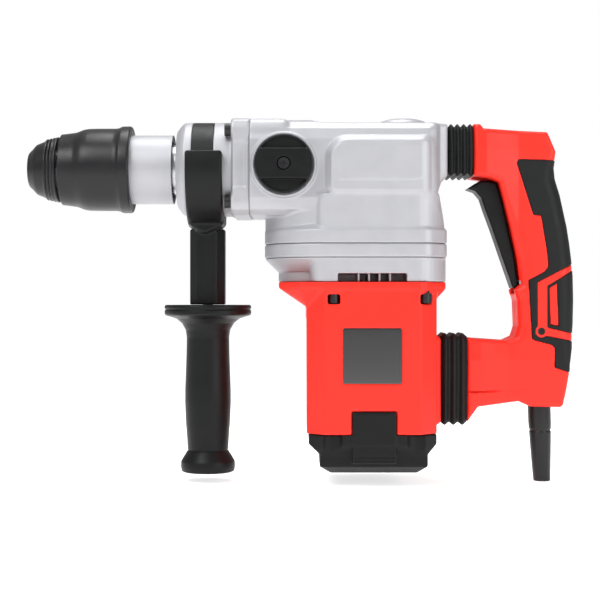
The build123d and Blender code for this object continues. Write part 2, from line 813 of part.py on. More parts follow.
def make_cover_screws():
    return [socket_screw((153.5, y, z), (1, 0, 0), 5.0, 6.2, 3.0, 38, 2.9) for y, z in COVER_SCREWS]


def make_motor_screws():
    """Screws that hold the motor housing to the gear plates, and the end cap to the housing."""
    flange = [socket_screw((x, y, -106.5), (0, 0, 1), 4.3, 7.4, 2.5, 34.6, 2.3) for x, y in FLANGE_SCREWS]
    cap = [socket_screw((x, y, -226), (0, 0, 1), 3.9, 4.0, 2.0, 14, 1.9) for x, y in CAP_SCREWS]
    return flange + cap


def make_grease_cap():
    """Domed cap screwed into the crank room from above, with a hexagon socket."""
    cap = turned_z([
        (0, 27),
        (15.9, 27),
        (15.9, HOUSING_TOP),
        (GREASE_R, HOUSING_TOP),
        (GREASE_R, HOUSING_TOP + 1.4),
        (18.4, HOUSING_TOP + 3.6),
        (13, HOUSING_TOP + 5.4),
        (6, GREASE_TOP),
        (0, GREASE_TOP),
    ], CRANK_X)
    socket = Pos(CRANK_X, 0, 37) * extrude(RegularPolygon(5, 6), amount=5)
    return cap - socket


def rounded_end(x0, x1, half, z0, z1, corner):
    """A block whose four long edges, along X, are rounded."""
    start = Plane(origin=(x0, 0, (z0 + z1) / 2), x_dir=(0, 1, 0), z_dir=(1, 0, 0))
    return extrude(start * RectangleRounded(2 * half, z1 - z0, corner), amount=x1 - x0)


def bellows(x0, x1, half, z0, z1, folds):
    """Rubber sleeve with ring folds between a casing and the handle."""
    step = (x1 - x0) / folds
    sleeve = rounded_end(x0, x1, half - 2.2, z0 + 2.2, z1 - 2.2, 7)
    for fold in range(folds):
        start = x0 + step * fold + 0.2 * step
        sleeve += rounded_end(start, start + 0.6 * step, half, z0, z1, 8)
    return sleeve - rounded_end(x0 - 1, x1 + 1, half - 5, z0 + 5, z1 - 5, 5)


def make_bellows_upper():
    return bellows(HOUSING_REAR, 348.5, ARM_HALF, UPPER_BELLOWS_BOTTOM, HOUSING_TOP, 4)


def make_bellows_lower():
    return bellows(322.8, 343.5, 22.0, -202.4, -130.4, 3)


def make_damper_pins():
    """Guide pins of the sprung handle, fixed in the casings."""
    upper = rod_x(322.5, 359, DAMPER_PIN_R, 0, UPPER_DAMPER_Z)
    lower = rod_x(MOTOR_REAR - 4, 354, DAMPER_PIN_R, 0, LOWER_DAMPER_Z)
    return [upper, lower]


def make_damper_springs():
    upper = spring((HOUSING_REAR + 0.1, 0, UPPER_DAMPER_Z), (348.3, 0, UPPER_DAMPER_Z), 7.0, 1.1, 4)
    lower = spring((323.0, 0, LOWER_DAMPER_Z), (343.3, 0, LOWER_DAMPER_Z), 7.0, 1.1, 4)
    return [upper, lower]


# Mode switch.

KNOB_FACE = -58.0
KNOB_BACK = -47.2
KNOB_BAR_HALF = 11.5


def make_mode_knob():
    """Round knob with a raised bar across it and a counterbore for its screw."""
    knob = turned_y([
        (0, KNOB_BACK),
        (KNOB_R, KNOB_BACK),
        (KNOB_R, -56.0),
        (KNOB_R - 2, KNOB_FACE),
        (0, KNOB_FACE),
    ], KNOB_X, 0)
    for side in (-1, 1):
        edges = sorted((side * KNOB_BAR_HALF, side * 25))
        sunk = box(KNOB_X - 25, KNOB_X + 25, KNOB_FACE - 1, -52.5, edges[0], edges[1])
        knob -= sunk & rod_y(-60, -50, KNOB_R - 2, KNOB_X)
    knob -= rod_y(KNOB_FACE - 1, -54.5, 5.2, KNOB_X)
    knob -= rod_y(-55, KNOB_BACK + 1, 2.5, KNOB_X)
    return knob


def make_mode_shaft():
    """Shaft through the casing wall with an off-centre pin for the clutch."""
    shaft = rod_y(KNOB_BACK, -26, 6.0, KNOB_X)
    shaft += rod_y(-26, -23, 2.0, KNOB_X, 3.5)
    return shaft - rod_y(KNOB_BACK - 1, -38, 2.5, KNOB_X)


def make_mode_screw():
    head = rod_y(-56.9, -54.5, 4.4, KNOB_X)
    shank = rod_y(-54.5, -38, 2.5, KNOB_X)
    cross = Pos(KNOB_X, -56.9, 0) * (Box(5, 2.4, 1.1) + Box(1.1, 2.4, 5))
    return head + shank - cross


# Rear handle.

HANDLE_SCREWS = [(402.0, -128.6, -1), (392.0, 22.0, 1), (366.0, -162.0, 1)]
ARM_FRONT_X = 348.5
LOWER_FACE_X = 343.5
SLOT_HALF = TRIGGER_HALF + 0.4


GRIP_BACK = [(412.4, 0), (417.6, -20.8), (423.2, -46.4), (426.8, -72), (428.4, -104), (426.8, -142.4),
             (422.4, -174.4), (419.8, -187.2)]
GRIP_FRONT = [(385.6, -91.2), (380.4, -59.2), (374.4, -33.6), (368.4, -11.2)]
UPPER_ARM = [(368.4, -11.2), (362.4, -8.4), (ARM_FRONT_X, -6.1), (ARM_FRONT_X, 34.4), (353.6, 34.4),
             (355.8, 31.0), (406.9, 28.6), (413.6, 12.8), (412.4, 0)]
LOWER_ARM = [(419.8, -187.2), (394.1, -188.2), (385.2, -184.2), (352.2, -188.2), (LOWER_FACE_X, -200.6),
             (LOWER_FACE_X, -133.1), (374.8, -136), (381.6, -132.6), (384, -124.8), (383.2, -104),
             (380.8, -96), (385.6, -91.2)]


def handle_face():
    """Side outline of the whole D handle, open towards the casings."""
    edges = [Spline(*GRIP_BACK), Polyline(*LOWER_ARM), Spline(*GRIP_FRONT), Polyline(*UPPER_ARM)]
    return Plane.XZ * make_face(edges)


def handle_inner_face():
    """The same outline in straight runs, drawn in by the wall."""
    points = GRIP_BACK[:-1] + LOWER_ARM[:-1] + GRIP_FRONT[:-1] + UPPER_ARM[:-1]
    face = make_face(Polyline(*points, close=True))
    return Plane.XZ * offset(face, amount=-SHELL_WALL, kind=Kind.INTERSECTION)


def handle_body():
    """Solid handle: a narrow grip and two arms that widen to the bellows."""
    outline = extrude(handle_face(), amount=30, both=True)
    slab = box(330, 440, -GRIP_HALF, GRIP_HALF, -210, 45)
    upper = [(ARM_FRONT_X, -ARM_HALF), (358, -ARM_HALF), (384, -GRIP_HALF), (384, GRIP_HALF),
             (358, ARM_HALF), (ARM_FRONT_X, ARM_HALF)]
    lower = [(LOWER_FACE_X, -22), (354, -22), (376, -GRIP_HALF), (376, GRIP_HALF), (354, 22),
             (LOWER_FACE_X, 22)]
    shape = slab + level_plate(upper, -15, 45) + level_plate(lower, -210, -130)
    return outline & shape


def handle_hollow():
    """Space inside the shells, with the slot that the trigger swings in."""
    hollow = extrude(handle_inner_face(), amount=GRIP_HALF - SHELL_WALL, both=True)
    slot = [(340, -20), (352, -2.5), (384, -2.5), (399, -97.5), (378, -97.5)]
    hollow += side_plate(slot, -SLOT_HALF, SLOT_HALF)
    for level in (UPPER_DAMPER_Z, LOWER_DAMPER_Z):
        hollow += rod_x(340, 361, DAMPER_PIN_R + 0.1, 0, level)
    hollow += rod_z(-200, -180, 7.6, RELIEF_TOP[0])
    return hollow


def rubber_pads(side):
    """Soft pads let into one side of the grip, above and below the cross stripe."""
    upper = [
        (384, 6.9), (409.4, 6.1), (409, 0), (413.6, -20.8), (419.2, -46.4), (422.6, -72), (422.8, -77.3),
        (399.5, -90.1), (392.5, -88), (404.4, -81.7), (407.2, -76), (402.4, -41.1), (395.7, -37.2),
        (391.9, -25.4), (382.7, 3.6),
    ]
    lower = [
        (394.6, -134.3), (410.2, -139.1), (412.6, -141.6), (412.6, -157), (419.4, -160), (422.6, -136),
        (423.2, -128), (406.5, -126), (404, -121), (404, -96), (397, -93.6), (394.6, -97),
    ]
    edges = sorted((side * (GRIP_HALF - 0.9), side * (GRIP_HALF + 0.3)))
    return [side_plate(upper, *edges), side_plate(lower, *edges)]


def handle_shell(side):
    """One half of the handle, with its screw posts."""
    edges = sorted((0, side * 40))
    half = box(330, 440, edges[0], edges[1], -210, 45)
    shell = (handle_body() - handle_hollow()) & half
    walls = sorted((0, side * (GRIP_HALF - 1)))
    for x, z, head_side in HANDLE_SCREWS:
        well = sorted((head_side * 16, head_side * 30))
        shell += rod_y(walls[0], walls[1], 4.6, x, z)
        shell -= rod_y(-14, 14, 2.0, x, z)
        shell -= rod_y(min(head_side * 2, well[0]), max(head_side * 2, well[1]), 2.0, x, z)
        shell -= rod_y(well[0], well[1], 3.6, x, z)
    for pad in rubber_pads(side):
        shell -= pad
    shell -= rod_y(-14.5, 14.5, 2.0, TRIGGER_PIVOT[0], TRIGGER_PIVOT[1])
    return shell


def make_handle_left():
    return handle_shell(-1)


def make_handle_right():
    return handle_shell(1)


def make_grip_rubber():
    pads = []
    for side in (-1, 1):
        for pad in rubber_pads(side):
            for x, z, _ in HANDLE_SCREWS:
                pad -= rod_y(-30, 30, 4.6, x, z)
            pads.append(pad)
    return pads


def make_handle_screws():
    """One cross-head screw is driven from the left and two from the right."""
    screws = []
    for x, z, side in HANDLE_SCREWS:
        seat = Plane(origin=(x, side * 18.2, z), x_dir=(1, 0, 0), z_dir=(0, -side, 0))
        on_seat = (Align.CENTER, Align.CENTER, Align.MIN)
        screw = Cylinder(3.5, 2.2, align=on_seat) + Cylinder(2.0, 32.2, align=on_seat)
        cross = Box(4, 0.9, 1.1, align=on_seat) + Box(0.9, 4, 1.1, align=on_seat)
        screws.append(seat * (screw - cross))
    return screws


def make_switch_module():
    """Switch block held between the shells behind the trigger."""
    half = GRIP_HALF - SHELL_WALL
    body = box(398, 413, -half, half, -84, -30)
    return body + box(395, 398, -6, 6, -62, -48)


def make_trigger():
    """Long trigger that reaches under the upper arm and hangs on a pin at its lower end."""
    outline = [
        (344.6, -15.7), (355.4, -9), (368.2, -11.0), (373.6, -33.6), (379.6, -59.2), (384.6, -88),
        (385.6, -94.4), (380.6, -94.5), (372.8, -72), (364, -46.4), (359.2, -33.6), (355.8, -23.3),
        (351.2, -17.9),
    ]
    lever = side_plate(outline, -TRIGGER_HALF, TRIGGER_HALF)
    lever += rod_y(-TRIGGER_HALF, TRIGGER_HALF, 4.5, *TRIGGER_PIVOT)
    return lever - rod_y(-20, 20, 2.0 + RUNNING, *TRIGGER_PIVOT)


def make_trigger_pin():
    return rod_y(-14.5, 14.5, 2.0, *TRIGGER_PIVOT)


def make_strain_relief():
    """Smooth tapered cable sleeve with an open bore."""
    top = Vector(RELIEF_TOP[0], 0, RELIEF_TOP[1])
    line = Vector(RELIEF_BOTTOM[0], 0, RELIEF_BOTTOM[1]) - top
    place = Plane(origin=top, z_dir=line)
    bottom_up = (Align.CENTER, Align.CENTER, Align.MIN)
    sleeve = place * Cone(9.5, 7.2, line.length, align=bottom_up)
    neck = rod((RELIEF_TOP[0], 0, -179), (RELIEF_TOP[0], 0, -190), 7.6)
    body = sleeve + neck
    bore = place * Pos(0, 0, -20) * Cylinder(CABLE_R, line.length + 40, align=bottom_up)
    return body - bore


# Side handle.

NECK_BOTTOM = -107.7
GRIP_BOTTOM = -241.3
BOLT_R = 4.0


def make_strap_clamp():
    """Steel band in the collar groove, with a block that the clamp bolt pulls on."""
    band = ring_x(128, 144, COLLAR_R - 0.1, GROOVE_R + 0.08)
    block = box(132.8, 144.0, -7, 7, -47, -36)
    block -= rod_x(120, 150, COLLAR_R - 0.2)
    return band + block - rod_z(-48, -40, BOLT_R, SIDE_X)


def make_side_cradle():
    """Black saddle under the collar, with a neck for the grip."""
    saddle = rod_x(123.3, 151.8, 46.5) & box(120, 155, -50, 50, -60, 11)
    saddle += box(123.3, 151.8, -24, 24, -55, -38)
    neck = level_plate(octagon(SIDE_X - 13.8, SIDE_X + 13.8, 13.8, 4), NECK_BOTTOM, -50)
    body = saddle + neck - rod_x(120, 155, COLLAR_R + 0.2)
    body -= rod_z(-48, -30, 10.2, SIDE_X)
    return body - rod_z(NECK_BOTTOM - 1, -40, BOLT_R + 0.2, SIDE_X)


def make_clamp_bolt():
    return rod_z(-150, -40, BOLT_R, SIDE_X)


def make_side_grip():
    """Turned grip with a double-lipped flange, a waist and an end ring."""
    grip = turned_z([
        (0, NECK_BOTTOM - 0.2),
        (33.6, NECK_BOTTOM - 0.2),
        (34.5, -109),
        (34.5, -111),
        (33.4, -112),
        (34.5, -113),
        (34.5, -115.4),
        (32.5, -116.4),
        (26, -118.6),
        (20.5, -123),
        (17.6, -128.5),
        (16.9, -134),
        (17.4, -155),
        (18.3, -182),
        (17.6, -203.5),
        (16.3, -223),
        (19.5, -229),
        (21.6, -232.6),
        (21.8, -236.6),
        (21.0, GRIP_BOTTOM),
        (0, GRIP_BOTTOM),
    ], SIDE_X)
    grip -= rod_z(-152, NECK_BOTTOM + 1, BOLT_R + 0.08, SIDE_X)
    grip -= rod_z(GRIP_BOTTOM + 5, -152, 11.0, SIDE_X)
    return grip - nut_shape()


def nut_shape():
    hexagon = Plane(origin=(SIDE_X, 0, -142)) * RegularPolygon(7.5, 6)
    return extrude(hexagon, amount=12)


def make_grip_nut():
    return nut_shape() - rod_z(-150, -120, BOLT_R + 0.04, SIDE_X)


# Every sub-part is written to its own file.

NODES = {
    "front_barrel": make_front_barrel,
    "crank_housing": make_crank_housing,
    "gear_case": make_gear_case,
    "bearing_bracket": make_bearing_bracket,
    "motor_housing": make_motor_housing,
    "end_cap": make_end_cap,
    "badge_plate": make_badge_plate,
    "grease_cap": make_grease_cap,
    "cover_screws": make_cover_screws,
    "motor_screws": make_motor_screws,
    "stator_core": make_stator_core,
    "field_windings": make_field_windings,
    "brush_holders": make_brush_holders,
    "carbon_brushes": make_carbon_brushes,
    "shaft_bearings": make_shaft_bearings,
    "spindle_bearing": make_spindle_bearing,
    "spindle_bush": make_spindle_bush,
    "bellows_upper": make_bellows_upper,
    "bellows_lower": make_bellows_lower,
    "damper_pins": make_damper_pins,
    "damper_springs": make_damper_springs,
    "armature_shaft": make_armature_shaft,
    "armature_core": make_armature_core,
    "armature_windings": make_armature_windings,
    "commutator": make_commutator,
    "cooling_fan": make_cooling_fan,
    "crank_shaft": make_crank_shaft,
    "crank_gear": make_crank_gear,
    "intermediate_shaft": make_intermediate_shaft,
    "intermediate_gear": make_intermediate_gear,
    "cylinder": make_cylinder,
    "bevel_gear": make_bevel_gear,
    "tool_holder": make_tool_holder,
    "locking_rollers": make_locking_rollers,
    "nose_cap": make_nose_cap,
    "locking_sleeve": make_locking_sleeve,
    "sleeve_spring": make_sleeve_spring,
    "piston": make_piston,
    "piston_seal": make_piston_seal,
    "wrist_pin": make_wrist_pin,
    "connecting_rod": make_connecting_rod,
    "striker": make_striker,
    "striker_seal": make_striker_seal,
    "impact_bolt": make_impact_bolt,
    "mode_knob": make_mode_knob,
    "mode_shaft": make_mode_shaft,
    "mode_screw": make_mode_screw,
    "handle_left": make_handle_left,
    "handle_right": make_handle_right,
    "grip_rubber": make_grip_rubber,
    "handle_screws": make_handle_screws,
    "switch_module": make_switch_module,
    "trigger_pin": make_trigger_pin,
    "strain_relief": make_strain_relief,
    "trigger": make_trigger,
    "strap_clamp": make_strap_clamp,
    "side_cradle": make_side_cradle,
    "clamp_bolt": make_clamp_bolt,
    "side_grip": make_side_grip,
    "grip_nut": make_grip_nut,
}


def write_parts():
    os.makedirs("parts", exist_ok=True)
    for name, make in NODES.items():
        shape = make()
        solids = []
        for piece in shape if isinstance(shape, list) else [shape]:
            solids.extend(piece.solids())
        export_step(Compound(children=solids), f"parts/{name}.step")


write_parts()
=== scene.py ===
import json
import math

import bpy
import numpy as np
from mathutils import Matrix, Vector


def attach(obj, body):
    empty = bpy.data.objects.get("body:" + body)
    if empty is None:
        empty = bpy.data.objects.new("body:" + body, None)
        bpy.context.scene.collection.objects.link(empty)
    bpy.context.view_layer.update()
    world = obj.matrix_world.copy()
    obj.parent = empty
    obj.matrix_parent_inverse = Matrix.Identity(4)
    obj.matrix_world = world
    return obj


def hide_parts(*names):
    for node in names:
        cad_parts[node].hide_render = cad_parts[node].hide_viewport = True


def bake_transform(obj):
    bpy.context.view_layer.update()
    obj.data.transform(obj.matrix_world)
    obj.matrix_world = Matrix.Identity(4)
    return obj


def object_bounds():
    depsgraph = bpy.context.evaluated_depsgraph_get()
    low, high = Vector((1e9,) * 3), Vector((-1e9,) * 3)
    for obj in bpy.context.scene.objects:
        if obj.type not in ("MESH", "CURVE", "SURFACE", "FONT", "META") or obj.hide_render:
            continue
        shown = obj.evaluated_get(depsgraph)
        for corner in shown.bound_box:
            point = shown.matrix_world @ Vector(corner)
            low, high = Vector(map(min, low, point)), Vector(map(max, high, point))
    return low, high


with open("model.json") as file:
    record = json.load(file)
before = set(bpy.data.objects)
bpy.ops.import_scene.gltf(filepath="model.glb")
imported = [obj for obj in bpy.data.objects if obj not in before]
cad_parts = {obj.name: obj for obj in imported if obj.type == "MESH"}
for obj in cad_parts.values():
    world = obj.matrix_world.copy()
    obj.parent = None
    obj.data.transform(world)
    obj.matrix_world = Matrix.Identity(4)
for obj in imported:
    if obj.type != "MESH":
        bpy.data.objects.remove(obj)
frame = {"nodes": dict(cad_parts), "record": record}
CAD_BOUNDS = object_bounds()

# Lengths in this script are millimetres, in the frame of the CAD model, until a mesh is made.
MM = 0.001
CRANK_X = 294.1
KNOB_X = 199.6
SIDE_X = 138.4
FRONT_TOP = 37.2
REAR_TOP = 34.2
CAP_WALL_END = -215.3
CAP_LEDGE = -222.8
CAP_FOOT = -232.4
CAP_BOTTOM = -238.8
MIDDLE_Z = -104.0
MIDDLE_X = 212.0
CAMERA_DISTANCE = 1100.0
WORLD_STRENGTH = 0.42
VIEW_WIDTH = 480.0
SENSOR = 36.0


# Camera and light.

def make_camera():
    """Straight side view, level with the middle of the tool."""
    data = bpy.data.cameras.new("camera")
    data.sensor_width = SENSOR
    data.lens = SENSOR * CAMERA_DISTANCE / VIEW_WIDTH
    data.clip_start = 0.01
    data.clip_end = 50
    camera = bpy.data.objects.new("camera", data)
    bpy.context.scene.collection.objects.link(camera)
    camera.location = (MIDDLE_X * MM, -CAMERA_DISTANCE * MM, MIDDLE_Z * MM)
    camera.rotation_euler = (math.pi / 2, 0, 0)
    bpy.context.scene.camera = camera


def make_light(name, place, size, power, target=(MIDDLE_X, 0, MIDDLE_Z)):
    """A square area light that faces the tool."""
    data = bpy.data.lights.new(name, "AREA")
    data.size = size
    data.energy = power
    light = bpy.data.objects.new(name, data)
    bpy.context.scene.collection.objects.link(light)
    light.location = Vector(place)
    aim = Vector(target) * MM - light.location
    light.rotation_euler = aim.to_track_quat("-Z", "Y").to_euler()


def make_studio():
    """Pale floor under the tool, white surroundings and three soft lights."""
    bpy.context.scene.view_settings.view_transform = "Standard"
    world = bpy.data.worlds.new("studio")
    bpy.context.scene.world = world
    world.use_nodes = True
    background = world.node_tree.nodes["Background"]
    background.inputs["Color"].default_value = (1, 1, 1, 1)
    background.inputs["Strength"].default_value = WORLD_STRENGTH
    backdrop = world.node_tree.nodes.new("ShaderNodeBackground")
    backdrop.inputs["Color"].default_value = (1, 1, 1, 1)
    backdrop.inputs["Strength"].default_value = 1.0
    seen = world.node_tree.nodes.new("ShaderNodeLightPath")
    choice = world.node_tree.nodes.new("ShaderNodeMixShader")
    output = world.node_tree.nodes["World Output"]
    world.node_tree.links.new(seen.outputs["Is Camera Ray"], choice.inputs[0])
    world.node_tree.links.new(background.outputs[0], choice.inputs[1])
    world.node_tree.links.new(backdrop.outputs[0], choice.inputs[2])
    world.node_tree.links.new(choice.outputs[0], output.inputs["Surface"])
    low = min(corner[2] for corner in CAD_BOUNDS)
    floor_mesh = bpy.data.meshes.new("floor")
    reach = 6.0
    corners = [(-reach, -reach, low), (reach, -reach, low), (reach, reach, low), (-reach, reach, low)]
    floor_mesh.from_pydata(corners, [], [(0, 1, 2, 3)])
    floor = bpy.data.objects.new("floor", floor_mesh)
    bpy.context.scene.collection.objects.link(floor)
    white = bpy.data.materials.new("pale_floor")
    white.use_nodes = True
    shader = white.node_tree.nodes["Principled BSDF"]
    shader.inputs["Base Color"].default_value = (0.9, 0.9, 0.9, 1)
    shader.inputs["Roughness"].default_value = 0.9
    shader.inputs["Specular IOR Level"].default_value = 0.1
    shader.inputs["Emission Color"].default_value = (1, 1, 1, 1)
    shader.inputs["Emission Strength"].default_value = 0.68
    floor_mesh.materials.append(white)
    make_light("key", (-0.45, -0.95, 1.0), 0.7, 13.5)
    make_light("fill", (1.05, -0.8, 0.2), 0.5, 4.3)
    make_light("top", (0.2, 0.15, 1.2), 0.7, 12)


# Solids as distance fields. A field gives the distance from its surface, negative inside, at the points
# of a grid; x, y and z are arrays that combine by broadcasting, so a flat outline costs little.

def polygon(points, u, v):
    """Distance from a closed outline in the plane of u and v."""
    shape = np.broadcast_shapes(u.shape, v.shape)
    nearest = np.full(shape, 1e12, np.float32)
    sign = np.ones(shape, np.float32)
    count = len(points)
    for i in range(count):
        au, av = points[i]
        bu, bv = points[i - 1]
        eu, ev = bu - au, bv - av
        wu, wv = u - au, v - av
        along = np.clip((wu * eu + wv * ev) / (eu * eu + ev * ev), 0, 1)
        du, dv = wu - eu * along, wv - ev * along
        nearest = np.minimum(nearest, du * du + dv * dv)
        above, below = v >= av, v < bv
        side = eu * wv > ev * wu
        flip = (above & below & side) | (~above & ~below & ~side)
        sign = np.where(flip, -sign, sign)
    return sign * np.sqrt(nearest)


def join(first, second, soften=0.0):
    """Union; soften is the size of the fillet between the two."""
    if soften <= 0:
        return np.minimum(first, second)
    mix = np.clip(0.5 + 0.5 * (second - first) / soften, 0, 1)
    return second * (1 - mix) + first * mix - soften * mix * (1 - mix)


def common(first, second, soften=0.0):
    """Intersection; soften rounds the edge between the two."""
    return -join(-first, -second, soften)


def cut(solid, tool, soften=0.0):
    """The solid without the tool; soften rounds the cut's edge."""
    return common(solid, -tool, soften)


def thick(outline, across, half, edge=0.0):
    """A flat outline given thickness: across is the distance from the middle plane, edge rounds the rims."""
    inner = outline + edge
    beyond = across - half + edge
    outside = np.sqrt(np.maximum(inner, 0) ** 2 + np.maximum(beyond, 0) ** 2)
    return np.minimum(np.maximum(inner, beyond), 0) + outside - edge


def block(x, y, z, low, high, edge=0.0):
    """A box between two corners, with rounded edges."""
    qx = np.abs(x - (low[0] + high[0]) / 2) - (high[0] - low[0]) / 2 + edge
    qy = np.abs(y - (low[1] + high[1]) / 2) - (high[1] - low[1]) / 2 + edge
    qz = np.abs(z - (low[2] + high[2]) / 2) - (high[2] - low[2]) / 2 + edge
    outside = np.sqrt(np.maximum(qx, 0) ** 2 + np.maximum(qy, 0) ** 2 + np.maximum(qz, 0) ** 2)
    return np.minimum(np.maximum(np.maximum(qx, qy), qz), 0) + outside - edge


def disc(u, v, centre, radius):
    return np.sqrt((u - centre[0]) ** 2 + (v - centre[1]) ** 2) - radius


def span(w, low, high):
    """Distance from the middle of a stretch, with half its length: what thick() asks for."""
    return np.abs(w - (low + high) / 2), (high - low) / 2


def rod_field(u, v, w, centre, radius, low, high, edge=0.0):
    """A round bar along w."""
    across, half = span(w, low, high)
    return thick(disc(u, v, centre, radius), across, half, edge)


CELL_CORNERS = [(i, j, k) for i in (0, 1) for j in (0, 1) for k in (0, 1)]
CELL_EDGES = [(a, b) for a in range(8) for b in range(a + 1, 8)
              if sum(abs(p - q) for p, q in zip(CELL_CORNERS[a], CELL_CORNERS[b])) == 1]


def skin_of(field, low, high, step):
    """Vertices and quads of the surface where a field is zero, one vertex in each cell that it crosses."""
    axes = [np.arange(low[a] - step, high[a] + 2 * step, step, dtype=np.float32) for a in range(3)]
    grid = [axes[0][:, None, None], axes[1][None, :, None], axes[2][None, None, :]]
    sizes = tuple(len(axis) for axis in axes)
    value = np.ascontiguousarray(np.broadcast_to(field(*grid), sizes), np.float32)
    inside = value < 0
    filled = np.zeros(tuple(n - 1 for n in sizes), np.int8)
    for i, j, k in CELL_CORNERS:
        filled += inside[i:sizes[0] - 1 + i, j:sizes[1] - 1 + j, k:sizes[2] - 1 + k]
    active = (filled > 0) & (filled < 8)
    cells = np.argwhere(active)
    number = np.full(active.shape, -1, np.int64)
    number[active] = np.arange(len(cells))
    corner_values = [value[cells[:, 0] + i, cells[:, 1] + j, cells[:, 2] + k] for i, j, k in CELL_CORNERS]
    total = np.zeros((len(cells), 3), np.float32)
    crossings = np.zeros(len(cells), np.float32)
    for a, b in CELL_EDGES:
        va, vb = corner_values[a], corner_values[b]
        crossed = (va < 0) != (vb < 0)
        part = np.where(crossed, va / np.where(crossed, va - vb, 1), 0)
        start = np.array(CELL_CORNERS[a], np.float32)
        run = np.array(CELL_CORNERS[b], np.float32) - start
        total += crossed[:, None] * (start + part[:, None] * run)
        crossings += crossed
    places = (cells + total / crossings[:, None]) * step + np.array([axis[0] for axis in axes])
    quads = []
    for a in range(3):
        b, c = (a + 1) % 3, (a + 2) % 3
        near = [slice(None)] * 3
        far = [slice(None)] * 3
        near[a], far[a] = slice(0, -1), slice(1, None)
        for other in (b, c):
            near[other] = far[other] = slice(1, -1)
        here, there = inside[tuple(near)], inside[tuple(far)]
        spots = np.argwhere(here != there)
        forward = here[tuple(spots.T)]
        spots[:, b] += 1
        spots[:, c] += 1
        ring = []
        for db, dc in ((-1, -1), (0, -1), (0, 0), (-1, 0)):
            cell = spots.copy()
            cell[:, b] += db
            cell[:, c] += dc
            ring.append(number[tuple(cell.T)])
        ring = np.stack(ring, 1)
        quads.append(np.where(forward[:, None], ring, ring[:, ::-1]))
    return places, np.concatenate(quads)


def mesh_object(name, places, faces):
    """A smooth-shaded object from points in millimetres."""
    mesh = bpy.data.meshes.new(name)
    faces = np.asarray(faces, np.int32)
    width = faces.shape[1]
    mesh.vertices.add(len(places))
    mesh.vertices.foreach_set("co", (np.asarray(places, np.float32) * MM).ravel())
    mesh.loops.add(faces.size)
    mesh.loops.foreach_set("vertex_index", faces.ravel())
    mesh.polygons.add(len(faces))
    mesh.polygons.foreach_set("loop_start", np.arange(0, faces.size, width, dtype=np.int32))
    mesh.update(calc_edges=True)
    mesh.validate()
    mesh.polygons.foreach_set("use_smooth", np.ones(len(mesh.polygons), bool))
    piece = bpy.data.objects.new(name, mesh)
    bpy.context.scene.collection.objects.link(piece)
    return piece


def carve(name, field, low, high, step, body, material, nodes, keep=1.0):
    """A piece made from a distance field, riding on a body in place of CAD nodes."""
    piece = mesh_object(name, *skin_of(field, low, high, step))
    if keep < 1.0:
        thinner = piece.modifiers.new("thinner", "DECIMATE")
        thinner.ratio = keep
        apply_modifiers(piece)
    return settle(piece, body, material, nodes)


def apply_modifiers(piece):
    """Makes the modified mesh the piece's own mesh."""
    graph = bpy.context.evaluated_depsgraph_get()
    result = bpy.data.meshes.new_from_object(piece.evaluated_get(graph))
    piece.modifiers.clear()
    piece.data = result


def settle(piece, body, material, nodes=()):
    """Gives a piece its material, its body and the CAD nodes that it stands for."""
    piece.data.materials.clear()
    piece.data.materials.append(MATERIALS[material])
    if body:
        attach(piece, body)
    if nodes:
        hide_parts(*nodes)
    return piece


def lathe(name, outline, axis, place, body, material, nodes=(), steps=144):
    """An open outline of (along, radius) points turned about x, y or z through a place."""
    turn = np.arange(steps) * 2 * math.pi / steps
    along = np.array([p[0] for p in outline], float)
    radius = np.array([p[1] for p in outline], float)
    rings = np.zeros((len(outline), steps, 3))
    first, second = {"x": (1, 2), "y": (2, 0), "z": (0, 1)}[axis]
    third = "xyz".index(axis)
    rings[:, :, third] = along[:, None]
    rings[:, :, first] = radius[:, None] * np.cos(turn)
    rings[:, :, second] = radius[:, None] * np.sin(turn)
    rings += np.array(place, float)
    index = np.arange(len(outline) * steps).reshape(len(outline), steps)
    following = np.roll(index, -1, 1)
    quads = np.stack([index[:-1], following[:-1], following[1:], index[1:]], -1).reshape(-1, 4)
    piece = mesh_object(name, rings.reshape(-1, 3), quads[:, ::-1])
    return settle(piece, body, material, nodes)


def rounded(points, radius, steps=5, closed=False):
    """An outline with each corner replaced by a small arc."""
    result = []
    count = len(points)
    for i, point in enumerate(points):
        if not closed and i in (0, count - 1):
            result.append(point)
            continue
        corner = np.array(point, float)
        before = np.array(points[i - 1], float) - corner
        after = np.array(points[(i + 1) % count], float) - corner
        lengths = np.linalg.norm(before), np.linalg.norm(after)
        before, after = before / lengths[0], after / lengths[1]
        reach = min(radius, 0.45 * lengths[0], 0.45 * lengths[1])
        start, end = corner + before * reach, corner + after * reach
        for s in range(steps + 1):
            t = s / steps
            spot = (1 - t) ** 2 * start + 2 * t * (1 - t) * corner + t * t * end
            result.append((float(spot[0]), float(spot[1])))
    return result


# Materials.

MATERIALS = {}


def grain_nodes(tree, scale, detail=3.0):
    """Noise fixed to the object, with the given number of grains in a metre."""
    nodes, links = tree.nodes, tree.links
    place = nodes.new("ShaderNodeTexCoord")
    noise = nodes.new("ShaderNodeTexNoise")
    noise.inputs["Scale"].default_value = scale
    noise.inputs["Detail"].default_value = detail
    links.new(place.outputs["Object"], noise.inputs["Vector"])
    return noise.outputs["Fac"]


def spread_value(tree, source, low, high):
    """A number that follows the noise between two values."""
    node = tree.nodes.new("ShaderNodeMapRange")
    node.inputs["From Min"].default_value = 0.3
    node.inputs["From Max"].default_value = 0.7
    node.inputs["To Min"].default_value = low
    node.inputs["To Max"].default_value = high
    tree.links.new(source, node.inputs["Value"])
    return node.outputs["Result"]


def spread_colour(tree, source, dark, light):
    """A colour that follows the noise between two colours."""
    node = tree.nodes.new("ShaderNodeMix")
    node.data_type = "RGBA"
    node.inputs["A"].default_value = (*dark, 1)
    node.inputs["B"].default_value = (*light, 1)
    tree.links.new(source, node.inputs["Factor"])
    return node.outputs["Result"]


